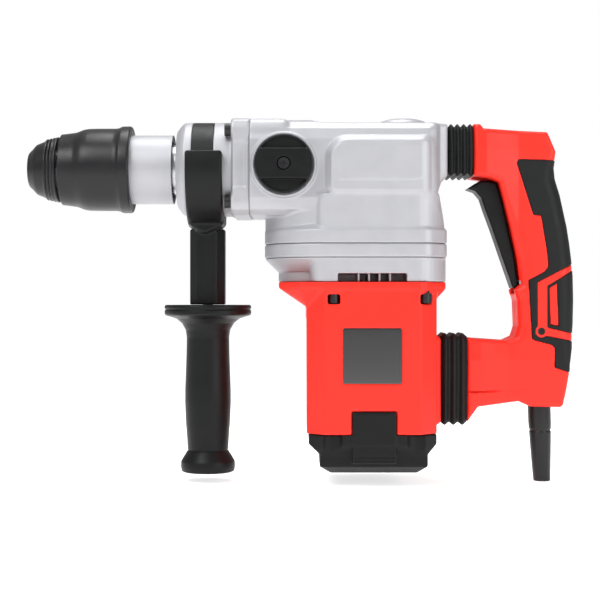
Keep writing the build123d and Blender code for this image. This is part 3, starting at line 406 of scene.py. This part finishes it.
def make_material(name, colour, roughness, metallic=0.0, tint=0.06, mottling=90.0, uneven=0.05,
                  grain=1600.0, bump=0.12, depth=0.0002, coat=0.0, edge=0.0, specular=0.5):
    """Colour and roughness that drift a little over the surface, with a fine moulded or cast grain; edge
    lightens the base colour on convex edges as a painted highlight.
    """
    material = bpy.data.materials.new(name)
    material.use_nodes = True
    tree = material.node_tree
    shader = tree.nodes["Principled BSDF"]
    shader.inputs["Metallic"].default_value = metallic
    shader.inputs["Specular IOR Level"].default_value = specular
    if coat:
        shader.inputs["Coat Weight"].default_value = coat
        shader.inputs["Coat Roughness"].default_value = 0.05
    drift = grain_nodes(tree, mottling)
    darker = tuple(c * (1 - tint) for c in colour)
    lighter = tuple(min(1.0, c * (1 + tint)) for c in colour)
    shade = spread_colour(tree, drift, darker, lighter)
    # Painted highlight: convex edges, picked out by pointiness, get a lighter base colour in place of the
    # light that rounded edges catch.
    if edge:
        geometry = tree.nodes.new("ShaderNodeNewGeometry")
        painted_edge_highlight = tree.nodes.new("ShaderNodeMapRange")
        painted_edge_highlight.inputs["From Min"].default_value = 0.53
        painted_edge_highlight.inputs["From Max"].default_value = 0.62
        painted_edge_highlight.inputs["To Max"].default_value = edge
        tree.links.new(geometry.outputs["Pointiness"], painted_edge_highlight.inputs["Value"])
        mix = tree.nodes.new("ShaderNodeMix")
        mix.data_type = "RGBA"
        mix.inputs["B"].default_value = tuple(min(1.0, c * 1.35 + 0.03) for c in colour) + (1,)
        tree.links.new(shade, mix.inputs["A"])
        tree.links.new(painted_edge_highlight.outputs["Result"], mix.inputs["Factor"])
        shade = mix.outputs["Result"]
    tree.links.new(shade, shader.inputs["Base Color"])
    tree.links.new(spread_value(tree, drift, roughness - uneven, roughness + uneven),
                   shader.inputs["Roughness"])
    relief = tree.nodes.new("ShaderNodeBump")
    relief.inputs["Strength"].default_value = bump
    relief.inputs["Distance"].default_value = depth
    tree.links.new(grain_nodes(tree, grain), relief.inputs["Height"])
    tree.links.new(relief.outputs["Normal"], shader.inputs["Normal"])
    MATERIALS[name] = material


def make_materials():
    # edge sets how strongly convex edges get a painted highlight in the base colour.
    make_material("cast_aluminium", (0.41, 0.412, 0.435), 0.50, metallic=0.35,
                  grain=1500, bump=0.25, edge=0.35)
    make_material("turned_aluminium", (0.43, 0.432, 0.455), 0.45, metallic=0.45,
                  grain=900, bump=0.1)
    make_material("steel", (0.52, 0.53, 0.55), 0.28, metallic=1.0, grain=900, bump=0.08)
    make_material("black_steel", (0.03, 0.03, 0.032), 0.34, metallic=0.7, bump=0.1)
    make_material("spring_steel", (0.35, 0.36, 0.38), 0.3, metallic=1.0)
    make_material("copper", (0.68, 0.30, 0.14), 0.35, metallic=0.9, grain=700, bump=0.4)
    make_material("carbon", (0.03, 0.03, 0.032), 0.6)
    make_material("red_plastic", (0.82, 0.022, 0.011), 0.40, tint=0.03, grain=2200,
                  bump=0.10, edge=0.15, specular=0.3)
    make_material("black_plastic", (0.005, 0.0055, 0.0055), 0.42, tint=0.15, grain=2600,
                  bump=0.3, edge=0.2, specular=0.2)
    make_material("gloss_black", (0.006, 0.006, 0.007), 0.10, tint=0.1, uneven=0.02,
                  bump=0.01, coat=1.0)
    make_material("black_rubber", (0.008, 0.0085, 0.0085), 0.5, tint=0.2, grain=3000,
                  bump=0.35, edge=0.15, specular=0.2)
    make_material("chuck_rubber", (0.010, 0.010, 0.011), 0.36, tint=0.15, grain=2400,
                  bump=0.12, edge=0.15, specular=0.3)
    make_material("fan_plastic", (0.10, 0.10, 0.11), 0.5)


def paint_cad_nodes():
    """Every node that keeps its CAD shape gets the material of its slot."""
    slot_of = {part["node"]: part["material_slot"] for part in frame["record"]["subparts"]}
    for name, node in frame["nodes"].items():
        if node.hide_render:
            continue
        material = MATERIALS[slot_of[name]]
        if not node.data.materials:
            node.data.materials.append(material)
        for i in range(len(node.data.materials)):
            node.data.materials[i] = material


# Chuck.

def ring_ribs(start, pitch, count, radius, slope):
    """Points of soft ring ribs along a rising cone."""
    points = []
    for rib in range(count):
        low = start + pitch * rib
        for share, rise in ((0.0, -0.5), (0.18, 0.35), (0.5, 0.75), (0.82, 0.35), (1.0, -0.5)):
            along = low + pitch * share
            points.append((along, radius + slope * (along - start) + rise))
    return points


def make_nose_cap():
    outline = [(6, 9.7), (-3.2, 9.7)]
    outline += rounded([(-3.2, 9.7), (-4, 10.4), (-4, 13.4), (-1.6, 15.6), (2.4, 20), (6, 21.4),
                        (9.0, 22.6)], 1.2)
    outline += ring_ribs(9.6, 2.6, 3, 23.4, 0.22)
    outline += [(17.8, 25.7), (19.4, 26.1), (19.9, 25.7), (20, 24.5), (20, 16.9)]
    lathe("nose_cap_skin", outline, "x", (0, 0, 0), "spindle", "chuck_rubber", ["nose_cap"])


def make_locking_sleeve():
    outline = [(34, 17.2), (22, 17.2), (22, 26.6)]
    outline += rounded([(22, 26.6), (22.2, 28.2), (26.4, 28.6), (34.4, 29.7), (40, 31.9), (44, 32.6),
                        (52, 32.8),
                        (66, 32.8), (68.6, 33.3), (70.6, 34.5), (77.2, 34.6), (78.4, 33.8), (78.4, 28.5)],
                       1.4)
    outline += [(61.4, 28.5), (61.4, 24.2), (34, 24.2)]
    lathe("locking_sleeve_skin", outline, "x", (0, 0, 0), "sleeve", "chuck_rubber", ["locking_sleeve"])


# Side handle.

def make_side_grip():
    neck_z = -107.9
    outline = [(neck_z, 4.2)]
    outline += rounded([(neck_z, 4.2), (neck_z, 33.8), (neck_z - 1.2, 34.5), (-110.8, 34.5), (-111.6, 33.6),
                        (-112.4, 34.5), (-115.2, 34.5), (-116.3, 33.4), (-117.0, 30.5), (-118.8, 25.0),
                        (-122.6, 20.6), (-128.0, 17.7), (-134, 16.9), (-145, 17.1), (-160, 17.6),
                        (-175, 18.2), (-185, 18.3), (-198, 17.8), (-203.5, 17.5), (-213, 16.7), (-223, 16.2),
                        (-223.6, 15.6), (-224.4, 16.5), (-229, 19.4), (-232.6, 21.5), (-236.6, 21.7),
                        (-240.4, 21.0), (-241.2, 19.0), (-241.2, 0.01)], 1.0)
    lathe("side_grip_skin", outline, "z", (SIDE_X, 0, 0), "side_grip", "black_plastic", ["side_grip"])


# Cast housings.

COVER_SCREWS = [(33, z) for z in (-28, 28)]
FLANGE_SCREWS_X = (238, 309)


def along_x(x, y, z, centre, radius, low, high, edge=0.0):
    return rod_field(y, z, x, centre, radius, low, high, edge)


def along_y(x, y, z, centre, radius, low, high, edge=0.0):
    return rod_field(x, z, y, centre, radius, low, high, edge)


def along_z(x, y, z, centre, radius, low, high, edge=0.0):
    return rod_field(x, y, z, centre, radius, low, high, edge)


def bevelled(outline, across, half, bevel):
    """A flat outline given thickness, with its rims cut at 45 degrees."""
    slope = (outline + across - half + bevel) / math.sqrt(2)
    return np.maximum(np.maximum(outline, across - half), slope)


def front_barrel(x, y, z):
    """Nose tube, flare, collar with the strap groove, and the bolted flange."""
    radius = np.sqrt(y * y + z * z)
    turned = polygon([(60, -5), (60, 27.4), (111, 27.4), (114.5, 30), (118.6, 35.4), (121.6, 37.4),
                      (127.5, 37.4), (127.5, 35), (144.5, 35), (144.5, 37.4), (173, 37.4), (173, -5)], x,
                     radius)
    turned = np.maximum(turned, 70 - x)
    side = np.abs(y)
    section = polygon([(-9, -38.4), (34, -38.4), (40.5, -34), (41.5, -22), (41.5, 24), (40, 34), (33, 37.0),
                       (-9, 37.0)], side, z)
    flange = thick(section, *span(x, 159.7, 173), 1.2)
    body = join(turned, flange, 2.5)
    for cy, cz in COVER_SCREWS:
        body = join(body, along_x(x, side, z, (cy, cz), 8.4, 158.6, 173, 0.8), 1.5)
        body = cut(body, along_x(x, side, z, (cy, cz), 3.2, 150, 180))
    recess = block(x, side, z, (150, 40.3, -17), (170, 50, 18), 1.5)
    body = cut(body, recess, 1.0)
    body = cut(body, radius - np.where(x < 112, 24.0, 30.0))
    return np.maximum(body, x - 173)


def crank_casting(x, y, z):
    """Main casting: rounded top, raised crank bulge on each side, screw tubes, knob boss and gear skirt."""
    side = np.abs(y)
    section = polygon([(-9, -38.4), (34, -38.4), (41, -34), (43.5, -25), (43.5, 20), (40.5, 28.5), (34, 34.0),
                       (25, FRONT_TOP), (-9, FRONT_TOP)], side, z)
    profile = polygon([(165, -38.4), (184, -38.4), (184, -70), (326.4, -70), (326.4, -53), (319.5, -21),
                       (322.5, -12), (328.4, -6.5), (328.4, REAR_TOP), (229, REAR_TOP), (221, FRONT_TOP),
                       (165, FRONT_TOP)],
                      x, z)
    plan = polygon([(165, -9), (165, 60), (304, 60), (313, 43.5), (318, 38), (321, 28), (328.4, 25.5),
                    (328.4, -9)], x, side)
    body = common(common(section, profile, 2.0), plan, 4.0)
    outline = polygon(rounded([(232, -24), (232, 12), (242, 22.5), (317, 22.5), (320, -24)], 9,
                              closed=True), x, z)
    bulge = bevelled(outline, side, 48.6, 4.2)
    bulge_plan = polygon([(200, -9), (200, 60), (303, 60), (313, 44), (322, 38), (322, -9)], x, side)
    bulge = common(bulge, bulge_plan, 5)
    body = join(body, bulge, 1.5)
    panel = polygon(rounded([(240, -11.5), (240, 15.5), (306, 15.5), (306, -11.5)], 4, closed=True), x, z)
    body = join(body, thick(panel, side, 48.9, 0.3), 0.9)
    lobe = disc(x, side, (226, 0), 42.0)
    main = polygon(rounded([(223.8, -60), (223.8, 46.8), (310, 46.8), (325.6, 31), (325.6, -60)], 10,
                           closed=True),
                   x, side)
    skirt = common(join(lobe, main, 0.6), profile, 1.5)
    skirt = np.maximum(skirt, np.maximum(z + 22, -61 - z))
    body = join(body, skirt, 2.0)
    hull = plate_plan(x, side)
    flange = np.maximum(np.maximum(hull, (hull + z + 50) / math.sqrt(2)), z + 42)
    body = join(body, flange, 0.5)
    for cy, cz in COVER_SCREWS:
        end_x = 198 if cz > 0 else 203
        tube = along_x(x, side, z, (cy, cz), 8.6, 160, end_x + 6, 6.0)
        body = join(body, tube, 2.0)
    boss = along_y(x, y, z, (KNOB_X, 0), 25.2, -47.0, -30, 1.0)
    body = join(body, boss, 2.0)
    far_boss = along_y(x, y, z, (KNOB_X, 0), 25.2, 30, 44.5, 1.0)
    body = join(body, far_boss, 2.0)
    body = cut(body, along_y(x, y, z, (KNOB_X, 0), 22.9, -60, -45.6))
    body = cut(body, along_z(x, y, z, (CRANK_X, 0), 20.8, 33.8, 60), 0.6)
    body = cut(body, along_x(x, y, z, (0, 0), 30, 160, 240))
    body = np.maximum(body, 173 - x)
    return np.maximum(body, -60.1 - z)


def plate_plan(x, side):
    """Outline shared by the stacked gear plates: round in front, cut corners behind."""
    nose = disc(x, side, (232, 0), 48.0)
    rear = polygon(rounded([(232, -60), (232, 48), (311, 48), (326.4, 33), (326.4, -60)], 5, closed=True),
                   x, side)
    return join(nose, rear)


def gear_case(x, y, z):
    side = np.abs(y)
    return thick(plate_plan(x, side), *span(z, -71.0, -60.5), 0.7)


def bearing_bracket(x, y, z):
    """Lower casting: a small lobe in front, the main block, and a sloping underside between them."""
    side = np.abs(y)
    hull = plate_plan(x, side)
    lobe = disc(x, side, (228, 0), 33.0)
    main = polygon(rounded([(219.8, -60), (219.8, 47.4), (311, 47.4), (325.9, 32.6), (325.9, -60)], 10,
                           closed=True), x, side)
    column = join(lobe, main, 0.6)
    slope = np.maximum(hull, (hull - z - 71.2) / math.sqrt(2))
    slope = np.maximum(slope, -82 - z)
    body = join(column, slope, 0.8)
    body = np.maximum(body, np.maximum(z + 71.2, -89.8 - z))
    vent = block(x, side, z, (241, 20, -95), (294, 60, -83.5), 0.8)
    body = cut(body, vent)
    for rib in range(4):
        middle = 257.0 + 8.1 * rib
        body = join(body, block(x, side, z, (middle - 0.8, 19, -89.8), (middle + 0.8, 43.0, -83), 0.3))
    return body


def make_castings():
    carve("front_barrel_skin", front_barrel, (70, -43, -41), (173, 43, 41), 0.75, "root", "cast_aluminium",
          ["front_barrel"], 0.7)
    carve("crank_housing_skin", crank_casting, (173, -51, -60.3), (328.4, 51, 41), 0.8, "root",
          "cast_aluminium", ["crank_housing"], 0.6)
    carve("gear_case_skin", gear_case, (184, -48, -71), (326.4, 48, -60.3), 0.8, "root", "cast_aluminium",
          ["gear_case"], 0.6)
    carve("bearing_bracket_skin", bearing_bracket, (184, -48, -90), (326.4, 48, -71), 0.7, "root",
          "cast_aluminium", ["bearing_bracket"], 0.6)


# Motor housing and its cap.

def octagon_plan(x, side, low, high, half, corner):
    return polygon([(low, -60), (low, half - corner), (low + corner, half), (high - corner, half),
                    (high, half - corner), (high, -60)], x, side)


def motor_casing(x, y, z):
    """Moulded tube with eight flats, a spreading flange, screw pockets, badge recess and a neck behind."""
    side = np.abs(y)
    column = octagon_plan(x, side, 217.2, 317.9, 49.0, 13.0)
    flange_plan = octagon_plan(x, side, 195, 325.8, 49.0, 17.0)
    profile = polygon([(195, -80), (195, -94.4), (217.2, -109.6), (217.2, -220), (317.9, -220),
                       (317.9, -110.7),
                       (325.8, -99.5), (325.8, -80)], x, z)
    head = common(flange_plan, profile, 1.5)
    head = np.maximum(head, -118 - z)
    corner_slope = (flange_plan - (z + 97) * 0.9 + 2) / math.sqrt(1.81)
    head = common(head, np.maximum(corner_slope, flange_plan), 1.5)
    body = join(head, column, 2.0)
    for px in FLANGE_SCREWS_X:
        pocket = block(x, side, z, (px - 4.8, 38.5, -107.2), (px + 4.8, 60, -99.6), 1.4)
        body = cut(body, pocket, 0.8)
    body = cut(body, block(x, y, z, (244.6, -60, -168.6), (290.4, -48.6, -125.2), 0.4), 0.4)
    tongue = block(x, side, z, (251.4, 46.5, -230), (286.6, 60, -189.1), 1.5)
    body = cut(body, tongue, 0.5)
    neck = block(x, side, z, (300, -60, -202), (322.8, 23, -132), 4.0)
    body = join(body, neck, 3.0)
    room = np.maximum(octagon_plan(x, side, 223, 312, 43, 11), z + 92)
    body = cut(body, room)
    return np.maximum(body, np.maximum(z + 90.1, -207.3 - z))


def end_cap(x, y, z):
    """Cap with a sloping rim, a foot and a tongue on each side."""
    side = np.abs(y)
    plan = octagon_plan(x, side, 218.4, 318.2, 48.6, 13.0)
    profile = polygon([(218.4, -200), (218.4, CAP_WALL_END), (227.2, CAP_LEDGE), (227.2, CAP_FOOT),
                       (236, CAP_BOTTOM),
                       (303, CAP_BOTTOM), (310.6, CAP_FOOT), (310.6, CAP_LEDGE), (318.2, CAP_WALL_END),
                       (318.2, -200)], x, z)
    across = polygon([(-60, -200), (48.6, -200), (48.6, CAP_WALL_END), (42, CAP_LEDGE), (42, CAP_FOOT),
                      (30, CAP_BOTTOM),
                      (-60, CAP_BOTTOM)], side, z)
    body = common(common(plan, profile, 1.5), across, 1.5)
    for screw_x in (236.5, 302):
        body = cut(body, along_z(x, side, z, (screw_x, 52), 9, CAP_LEDGE, -200), 0.6)
    body = np.maximum(body, z + 207.7)
    panel = block(x, side, z, (252, 38, -229.5), (286, 48.6, -208), 1.0)
    body = join(body, panel, 0.5)
    tongue = block(x, side, z, (252, 40, -216), (286, 49.0, -189.7), 1.2)
    body = join(body, tongue, 0.5)
    for groove_z in (-224.5, -227.3):
        body = cut(body, block(x, side, z, (250, 48.0, groove_z - 0.35), (288, 60, groove_z + 0.35)), 0.2)
    return body


def badge(x, y, z):
    outline = polygon(rounded([(245, -168.2), (245, -125.6), (290, -125.6), (290, -168.2)], 1.5,
                              closed=True), x, z)
    return thick(outline, *span(y, -49.7, -47.8), 0.35)


def make_motor_casing():
    carve("motor_housing_skin", motor_casing, (195, -49, -207.5), (325.8, 49, -90), 0.8, "root",
          "red_plastic", ["motor_housing"], 0.6)
    carve("end_cap_skin", end_cap, (218, -49, -243.8), (318.4, 49, -189.7), 0.8, "root", "black_plastic",
          ["end_cap"], 0.6)
    carve("badge_skin", badge, (245, -50, -168.4), (290, -47.6, -125.4), 0.35, "root", "gloss_black",
          ["badge_plate"], 0.5)


# Handle, pads and trigger.

BELLOWS_END_UPPER = 348.5
BELLOWS_END_LOWER = 343.5
HANDLE_SCREW = (402, -128.6)
FAR_SCREWS = [(392, 22), (366, -162)]
HANDLE_OUTLINE = [
    (348.5, 34.4), (353.6, 34.4), (355.8, 31.6), (355.8, 31), (406.9, 28.6), (407.8, 27.2), (413.6, 12.8),
    (413.2, 8), (412.4, 0), (413.6, -8), (417.6, -20.8), (420.4, -33.6), (423.2, -46.4), (425.2, -59.2),
    (426.8, -72), (428, -84.8), (428.4, -104), (428, -123.2), (426.8, -142.4), (424.8, -155.2),
    (424.4, -161.6), (422.4, -174.4), (419.8, -187.2), (417.6, -188.8), (394.1, -188.2), (385.6, -184.6),
    (384.8, -184), (352.2, -188.2), (343.5, -200.6), (343.5, -133.1), (348, -134.2), (374.8, -136),
    (381.6, -132.6), (384, -124.8), (383.2, -104), (380.8, -96), (385.6, -91.2), (383.2, -72),
    (380.4, -59.2), (377.6, -46.4), (374.4, -33.6), (371.2, -20.8), (368.4, -11.2), (362.4, -8.4),
    (348.5, -6.1),
]
PAD_OUTLINE = [
    (384.0, 6.9), (409.4, 6.1), (440, 6.1), (440, -165.8), (420.9, -160.0), (412.5, -157.2),
    (412.5, -141.7), (410.0, -139.2), (396.6, -135.8), (394.5, -134.4), (391.8, -88.3), (404.4, -81.7),
    (407.2, -78.0), (407.2, -74.1), (406.2, -64.7), (404.3, -53.7), (402.3, -41.1), (401.5, -37.5),
    (395.6, -37.2), (391.8, -25.4), (382.6, 3.7),
]
STRIPE = [
    (398.8, -90.2), (417.7, -80.3), (424.0, -77.5), (440, -69.7), (440, -74.3), (424.7, -82.0),
    (406.5, -92.9), (406.7, -125.8), (424.3, -129.8), (440, -133.1), (440, -139.2), (424.0, -135.8),
    (405.8, -132.2), (399.6, -130.0), (399.0, -125.2),
]
STRIPE_BAR = [(408.1, -94.6), (414.1, -91.0), (415.3, -124.3), (409.0, -123.1)]
TRIGGER_OUTLINE = [
    (344.6, -15.7), (350, -12.2), (355.4, -9), (362, -9.2), (368.2, -10.8), (371.4, -21), (376.6, -44),
    (381.6, -66), (385.6, -94.4), (380.6, -94.5), (372.8, -72), (364, -46.4), (359.2, -33.6),
    (355.8, -23.3), (351.2, -17.9),
]
TRIGGER_HALF = 11.0


def eased(outline, across, half, edge):
    """thick() with a rim radius that may change from place to place."""
    a = outline + edge
    b = across - half + edge
    outside = np.sqrt(np.maximum(a, 0) ** 2 + np.maximum(b, 0) ** 2)
    return outside + np.minimum(np.maximum(a, b), 0) - edge


def handle_hull(x, y, z):
    """D handle: a rounded grip behind and two boxy arms that widen towards the bellows."""
    side = np.abs(y)
    outline = polygon(HANDLE_OUTLINE, x, z)
    upper = 24.0 - 5.0 * np.clip((x - 358) / 26, 0, 1) - 0.10 * np.clip(z - 14, 0, 30)
    lower = 22.0 - 3.0 * np.clip((x - 354) / 22, 0, 1) - 0.10 * np.clip(z + 151, 0,
                                                                        30) * np.clip((384 - x) / 20, 0, 1)
    half = np.where(z > -100, upper, lower - 0.06 * np.clip(-151 - z, 0, 60))
    grip_share = np.clip((x - 374) / 22, 0, 1) * np.clip((z + 160) / 30, 0, 1) * np.clip((14 - z) / 24, 0, 1)
    body = eased(outline, side, half, 3.6 + 7.4 * grip_share)
    rib = polygon([(343, -176.9), (359.6, -176.7), (392, -173.6), (392, -172.8), (359.0, -175.6),
                   (343, -175.8)], x, z)
    return np.maximum(body, -np.maximum(rib, 17.5 - side))


def handle_shape(x, y, z):
    side = np.abs(y)
    body = handle_hull(x, y, z)
    slot = polygon([(330, -20), (352, -4.5), (383, -4.5), (394, -97.5), (374, -99.5), (330, -60)], x, z)
    body = cut(body, np.maximum(slot, side - 11.7), 0.5)
    seat = np.maximum(np.maximum(polygon(PAD_OUTLINE, x, z), -body - 1.4), -4.0)
    stripes = np.minimum(polygon(STRIPE, x, z), polygon(STRIPE_BAR, x, z))
    seat = np.maximum(seat, -stripes)
    seat = np.maximum(seat, 5.1 - along_y(x, side, z, HANDLE_SCREW, 0.1, -40, 40))
    body = np.maximum(body, -seat)
    body = cut(body, along_y(x, side, z, HANDLE_SCREW, 2.9, 14.4, 40))
    for place in FAR_SCREWS:
        body = cut(body, along_y(x, y, z, place, 3.6, 16.2, 40))
    return body


def left_half(x, y, z):
    return np.maximum(handle_shape(x, y, z), y + 0.15)


def right_half(x, y, z):
    return np.maximum(handle_shape(x, y, z), 0.15 - y)


def pad_shape(x, y, z):
    """Soft skin let into the handle, cut away for the stripes and the screw post."""
    body = handle_hull(x, y, z)
    side = np.abs(y)
    skin = np.maximum(body - 0.35, -body - 1.3)
    skin = common(skin, polygon(PAD_OUTLINE, x, z) + 0.15, 0.5)
    stripes = np.minimum(polygon(STRIPE, x, z), polygon(STRIPE_BAR, x, z))
    skin = cut(skin, stripes - 0.15, 0.5)
    return cut(skin, along_y(x, side, z, HANDLE_SCREW, 4.8, -40, 40), 0.3)


def trigger_shape(x, y, z):
    outline = polygon(TRIGGER_OUTLINE, x, z)
    return thick(outline, np.abs(y), TRIGGER_HALF - 0.3, 2.4)


def relief_shape(x, y, z):
    """Smooth tapered cable sleeve, leaning slightly back, with its cable bore."""
    down = np.clip(-188.8 - z, -10, 62)
    centre = 403.2 + 0.0364 * down
    radius = np.interp(down, [-10, 0, 12, 30, 59.5], [9.3, 9.5, 9.45, 8.7, 7.15])
    distance = np.sqrt((x - centre) ** 2 + y * y)
    ring = np.abs(down - 19) < 0.9
    body = distance - radius + np.where(ring, 0.45, 0.0)
    rim = np.maximum(body + 0.8, -248.3 - z + 0.8)
    body = np.maximum(np.maximum(body, -248.3 - z), (rim + body) * 0.7)
    return np.maximum(np.maximum(body, 4.25 - distance), z + 184)


def make_handle():
    low, high = (343.5, -24.2, -200.8), (428.6, 24.2, 37.2)
    carve("handle_left_skin", left_half, low, (high[0], -0.15, high[2]), 0.75, "handle", "red_plastic",
          ["handle_left"], 0.7)
    carve("handle_right_skin", right_half, (low[0], 0.15, low[2]), high, 0.75, "handle", "red_plastic",
          ["handle_right"], 0.7)
    carve("grip_rubber_skin", pad_shape, (380, -20, -170), (430, 20, 10), 0.55, "handle", "black_rubber",
          ["grip_rubber"], 0.6)
    carve("trigger_skin", trigger_shape, (344, -11.2, -95), (386.4, 11.2, -8.6), 0.6, "trigger",
          "black_plastic", ["trigger"], 0.7)
    carve("strain_relief_skin", relief_shape, (393, -10, -248.5), (413.4, 10, -183), 0.5, "handle",
          "chuck_rubber", ["strain_relief"], 0.7)


# Bellows.

def fold_depth(x, low, high, folds):
    """How far a fold stands back from the crest at x."""
    turn = (x - low) / (high - low) * folds * 2 * math.pi
    return 1.15 * (1 + np.cos(turn))


def bellows_field(x, y, z, low, high, half, bottom, top, folds, crease):
    middle, rise = (bottom + top) / 2, (top - bottom) / 2
    lean = 0.10 * np.clip(z - crease, 0, 40) + 0.06 * np.clip(crease - z, 0, 60)
    outline = np.abs(y) - half + lean
    body = eased(np.abs(z - middle) - rise, outline, 0.0, 7.0)
    nick = 0.5 * np.exp(-((z - crease) / 0.8) ** 2)
    body = body + fold_depth(x, low, high, folds) + nick
    return np.maximum(body, np.maximum(low - x, x - high))


def upper_bellows(x, y, z):
    return bellows_field(x, y, z, 328.4, BELLOWS_END_UPPER, 24.6, -6.9, 34.7, 4, 12.5)


def lower_bellows(x, y, z):
    return bellows_field(x, y, z, 322.8, BELLOWS_END_LOWER, 22.6, -202.8, -130.0, 3, -151.0)


def make_bellows():
    upper = carve("bellows_upper_skin", upper_bellows, (328.4, -25, -14.5), (BELLOWS_END_UPPER, 25, 38.4),
                  0.5,
                  None, "black_rubber", ["bellows_upper"], 0.6)
    lower = carve("bellows_lower_skin", lower_bellows, (322.8, -23, -203.4), (BELLOWS_END_LOWER, 23, -129.6),
                  0.5, None, "black_rubber", ["bellows_lower"], 0.6)
    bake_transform(upper)
    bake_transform(lower)


# Knob, grease cap and side-handle clamp.

def knob_shape(x, y, z):
    """Round knob with a raised grip bar, sunk fields above and below it, and a screw well."""
    away = np.sqrt((x - KNOB_X) ** 2 + z * z)
    disc_part = thick(away - 22.5, *span(y, -53.2, -47.2), 0.8)
    sunk = np.maximum(away - 20.6, 11.9 - np.abs(z))
    disc_part = np.maximum(disc_part, -np.maximum(sunk, y + 51.6))
    bar = eased(np.abs(z) - 11.6, away, 22.2, 0.9)
    bar = np.maximum(bar, np.maximum(-58.0 - y, y + 50))
    rim = (bar + (-58.0 - y) + 1.0) / math.sqrt(2)
    bar = np.maximum(bar, rim)
    body = join(disc_part, bar, 0.6)
    body = cut(body, along_y(x, y, z, (KNOB_X, 0), 5.3, -60, -53.5), 0.4)
    pointer = block(x, y, z, (KNOB_X + 13.0, -60, -1.1), (KNOB_X + 20.0, -57.4, 1.1), 0.3)
    return cut(body, pointer)


def make_grease_cap():
    outline = [(33.9, 17.0), (34.1, 20.3)]
    outline += rounded([(34.1, 20.3), (35.6, 20.3), (37.8, 18.4), (39.6, 13.0), (40.2, 6.0), (40.3, 4.6)],
                       1.2)
    outline += [(40.3, 4.4), (38.9, 4.2), (38.9, 0.01)]
    lathe("grease_cap_skin", outline, "z", (CRANK_X, 0, 0), "root", "turned_aluminium", ["grease_cap"])


def cradle_shape(x, y, z):
    """Forked cradle under the collar, a squared block and the chamfered neck of the side handle."""
    radius = np.sqrt(y * y + z * z)
    side = np.abs(y)
    along, half = span(x, 123.3, 151.8)
    fork = thick(np.maximum(radius - 46.5, z - 11), along, half, 2.0)
    tongue = polygon(rounded([(124.5, -30), (124.5, -45), (137, -52), (151.8, -45), (151.8, -30)], 3,
                             closed=True),
                     x, z)
    tongue = thick(tongue, side, 17.0, 2.0)
    body = join(fork, tongue, 2.0)
    body = np.maximum(body, 37.6 - radius)
    reach = np.abs(x - SIDE_X)
    neck = np.maximum(np.maximum(reach, side) - 13.8, (reach + side - 21.2) / math.sqrt(2))
    neck = thick(neck, *span(z, -107.6, -48), 0.8)
    body = join(body, neck, 2.5)
    return np.maximum(body, z - 11)


def make_details():
    carve("mode_knob_skin", knob_shape, (176.8, -58.1, -22.8), (222.4, -47.0, 22.8), 0.4, "mode_switch",
          "black_plastic", ["mode_knob"], 0.6)
    make_grease_cap()
    carve("side_cradle_skin", cradle_shape, (123, -46.8, -107.8), (152, 46.8, 11.2), 0.7, "side_handle",
          "black_plastic", ["side_cradle"], 0.6)


make_camera()
make_studio()
make_materials()
make_nose_cap()
make_locking_sleeve()
make_side_grip()
make_castings()
make_motor_casing()
make_handle()
make_bellows()
make_details()
paint_cad_nodes()
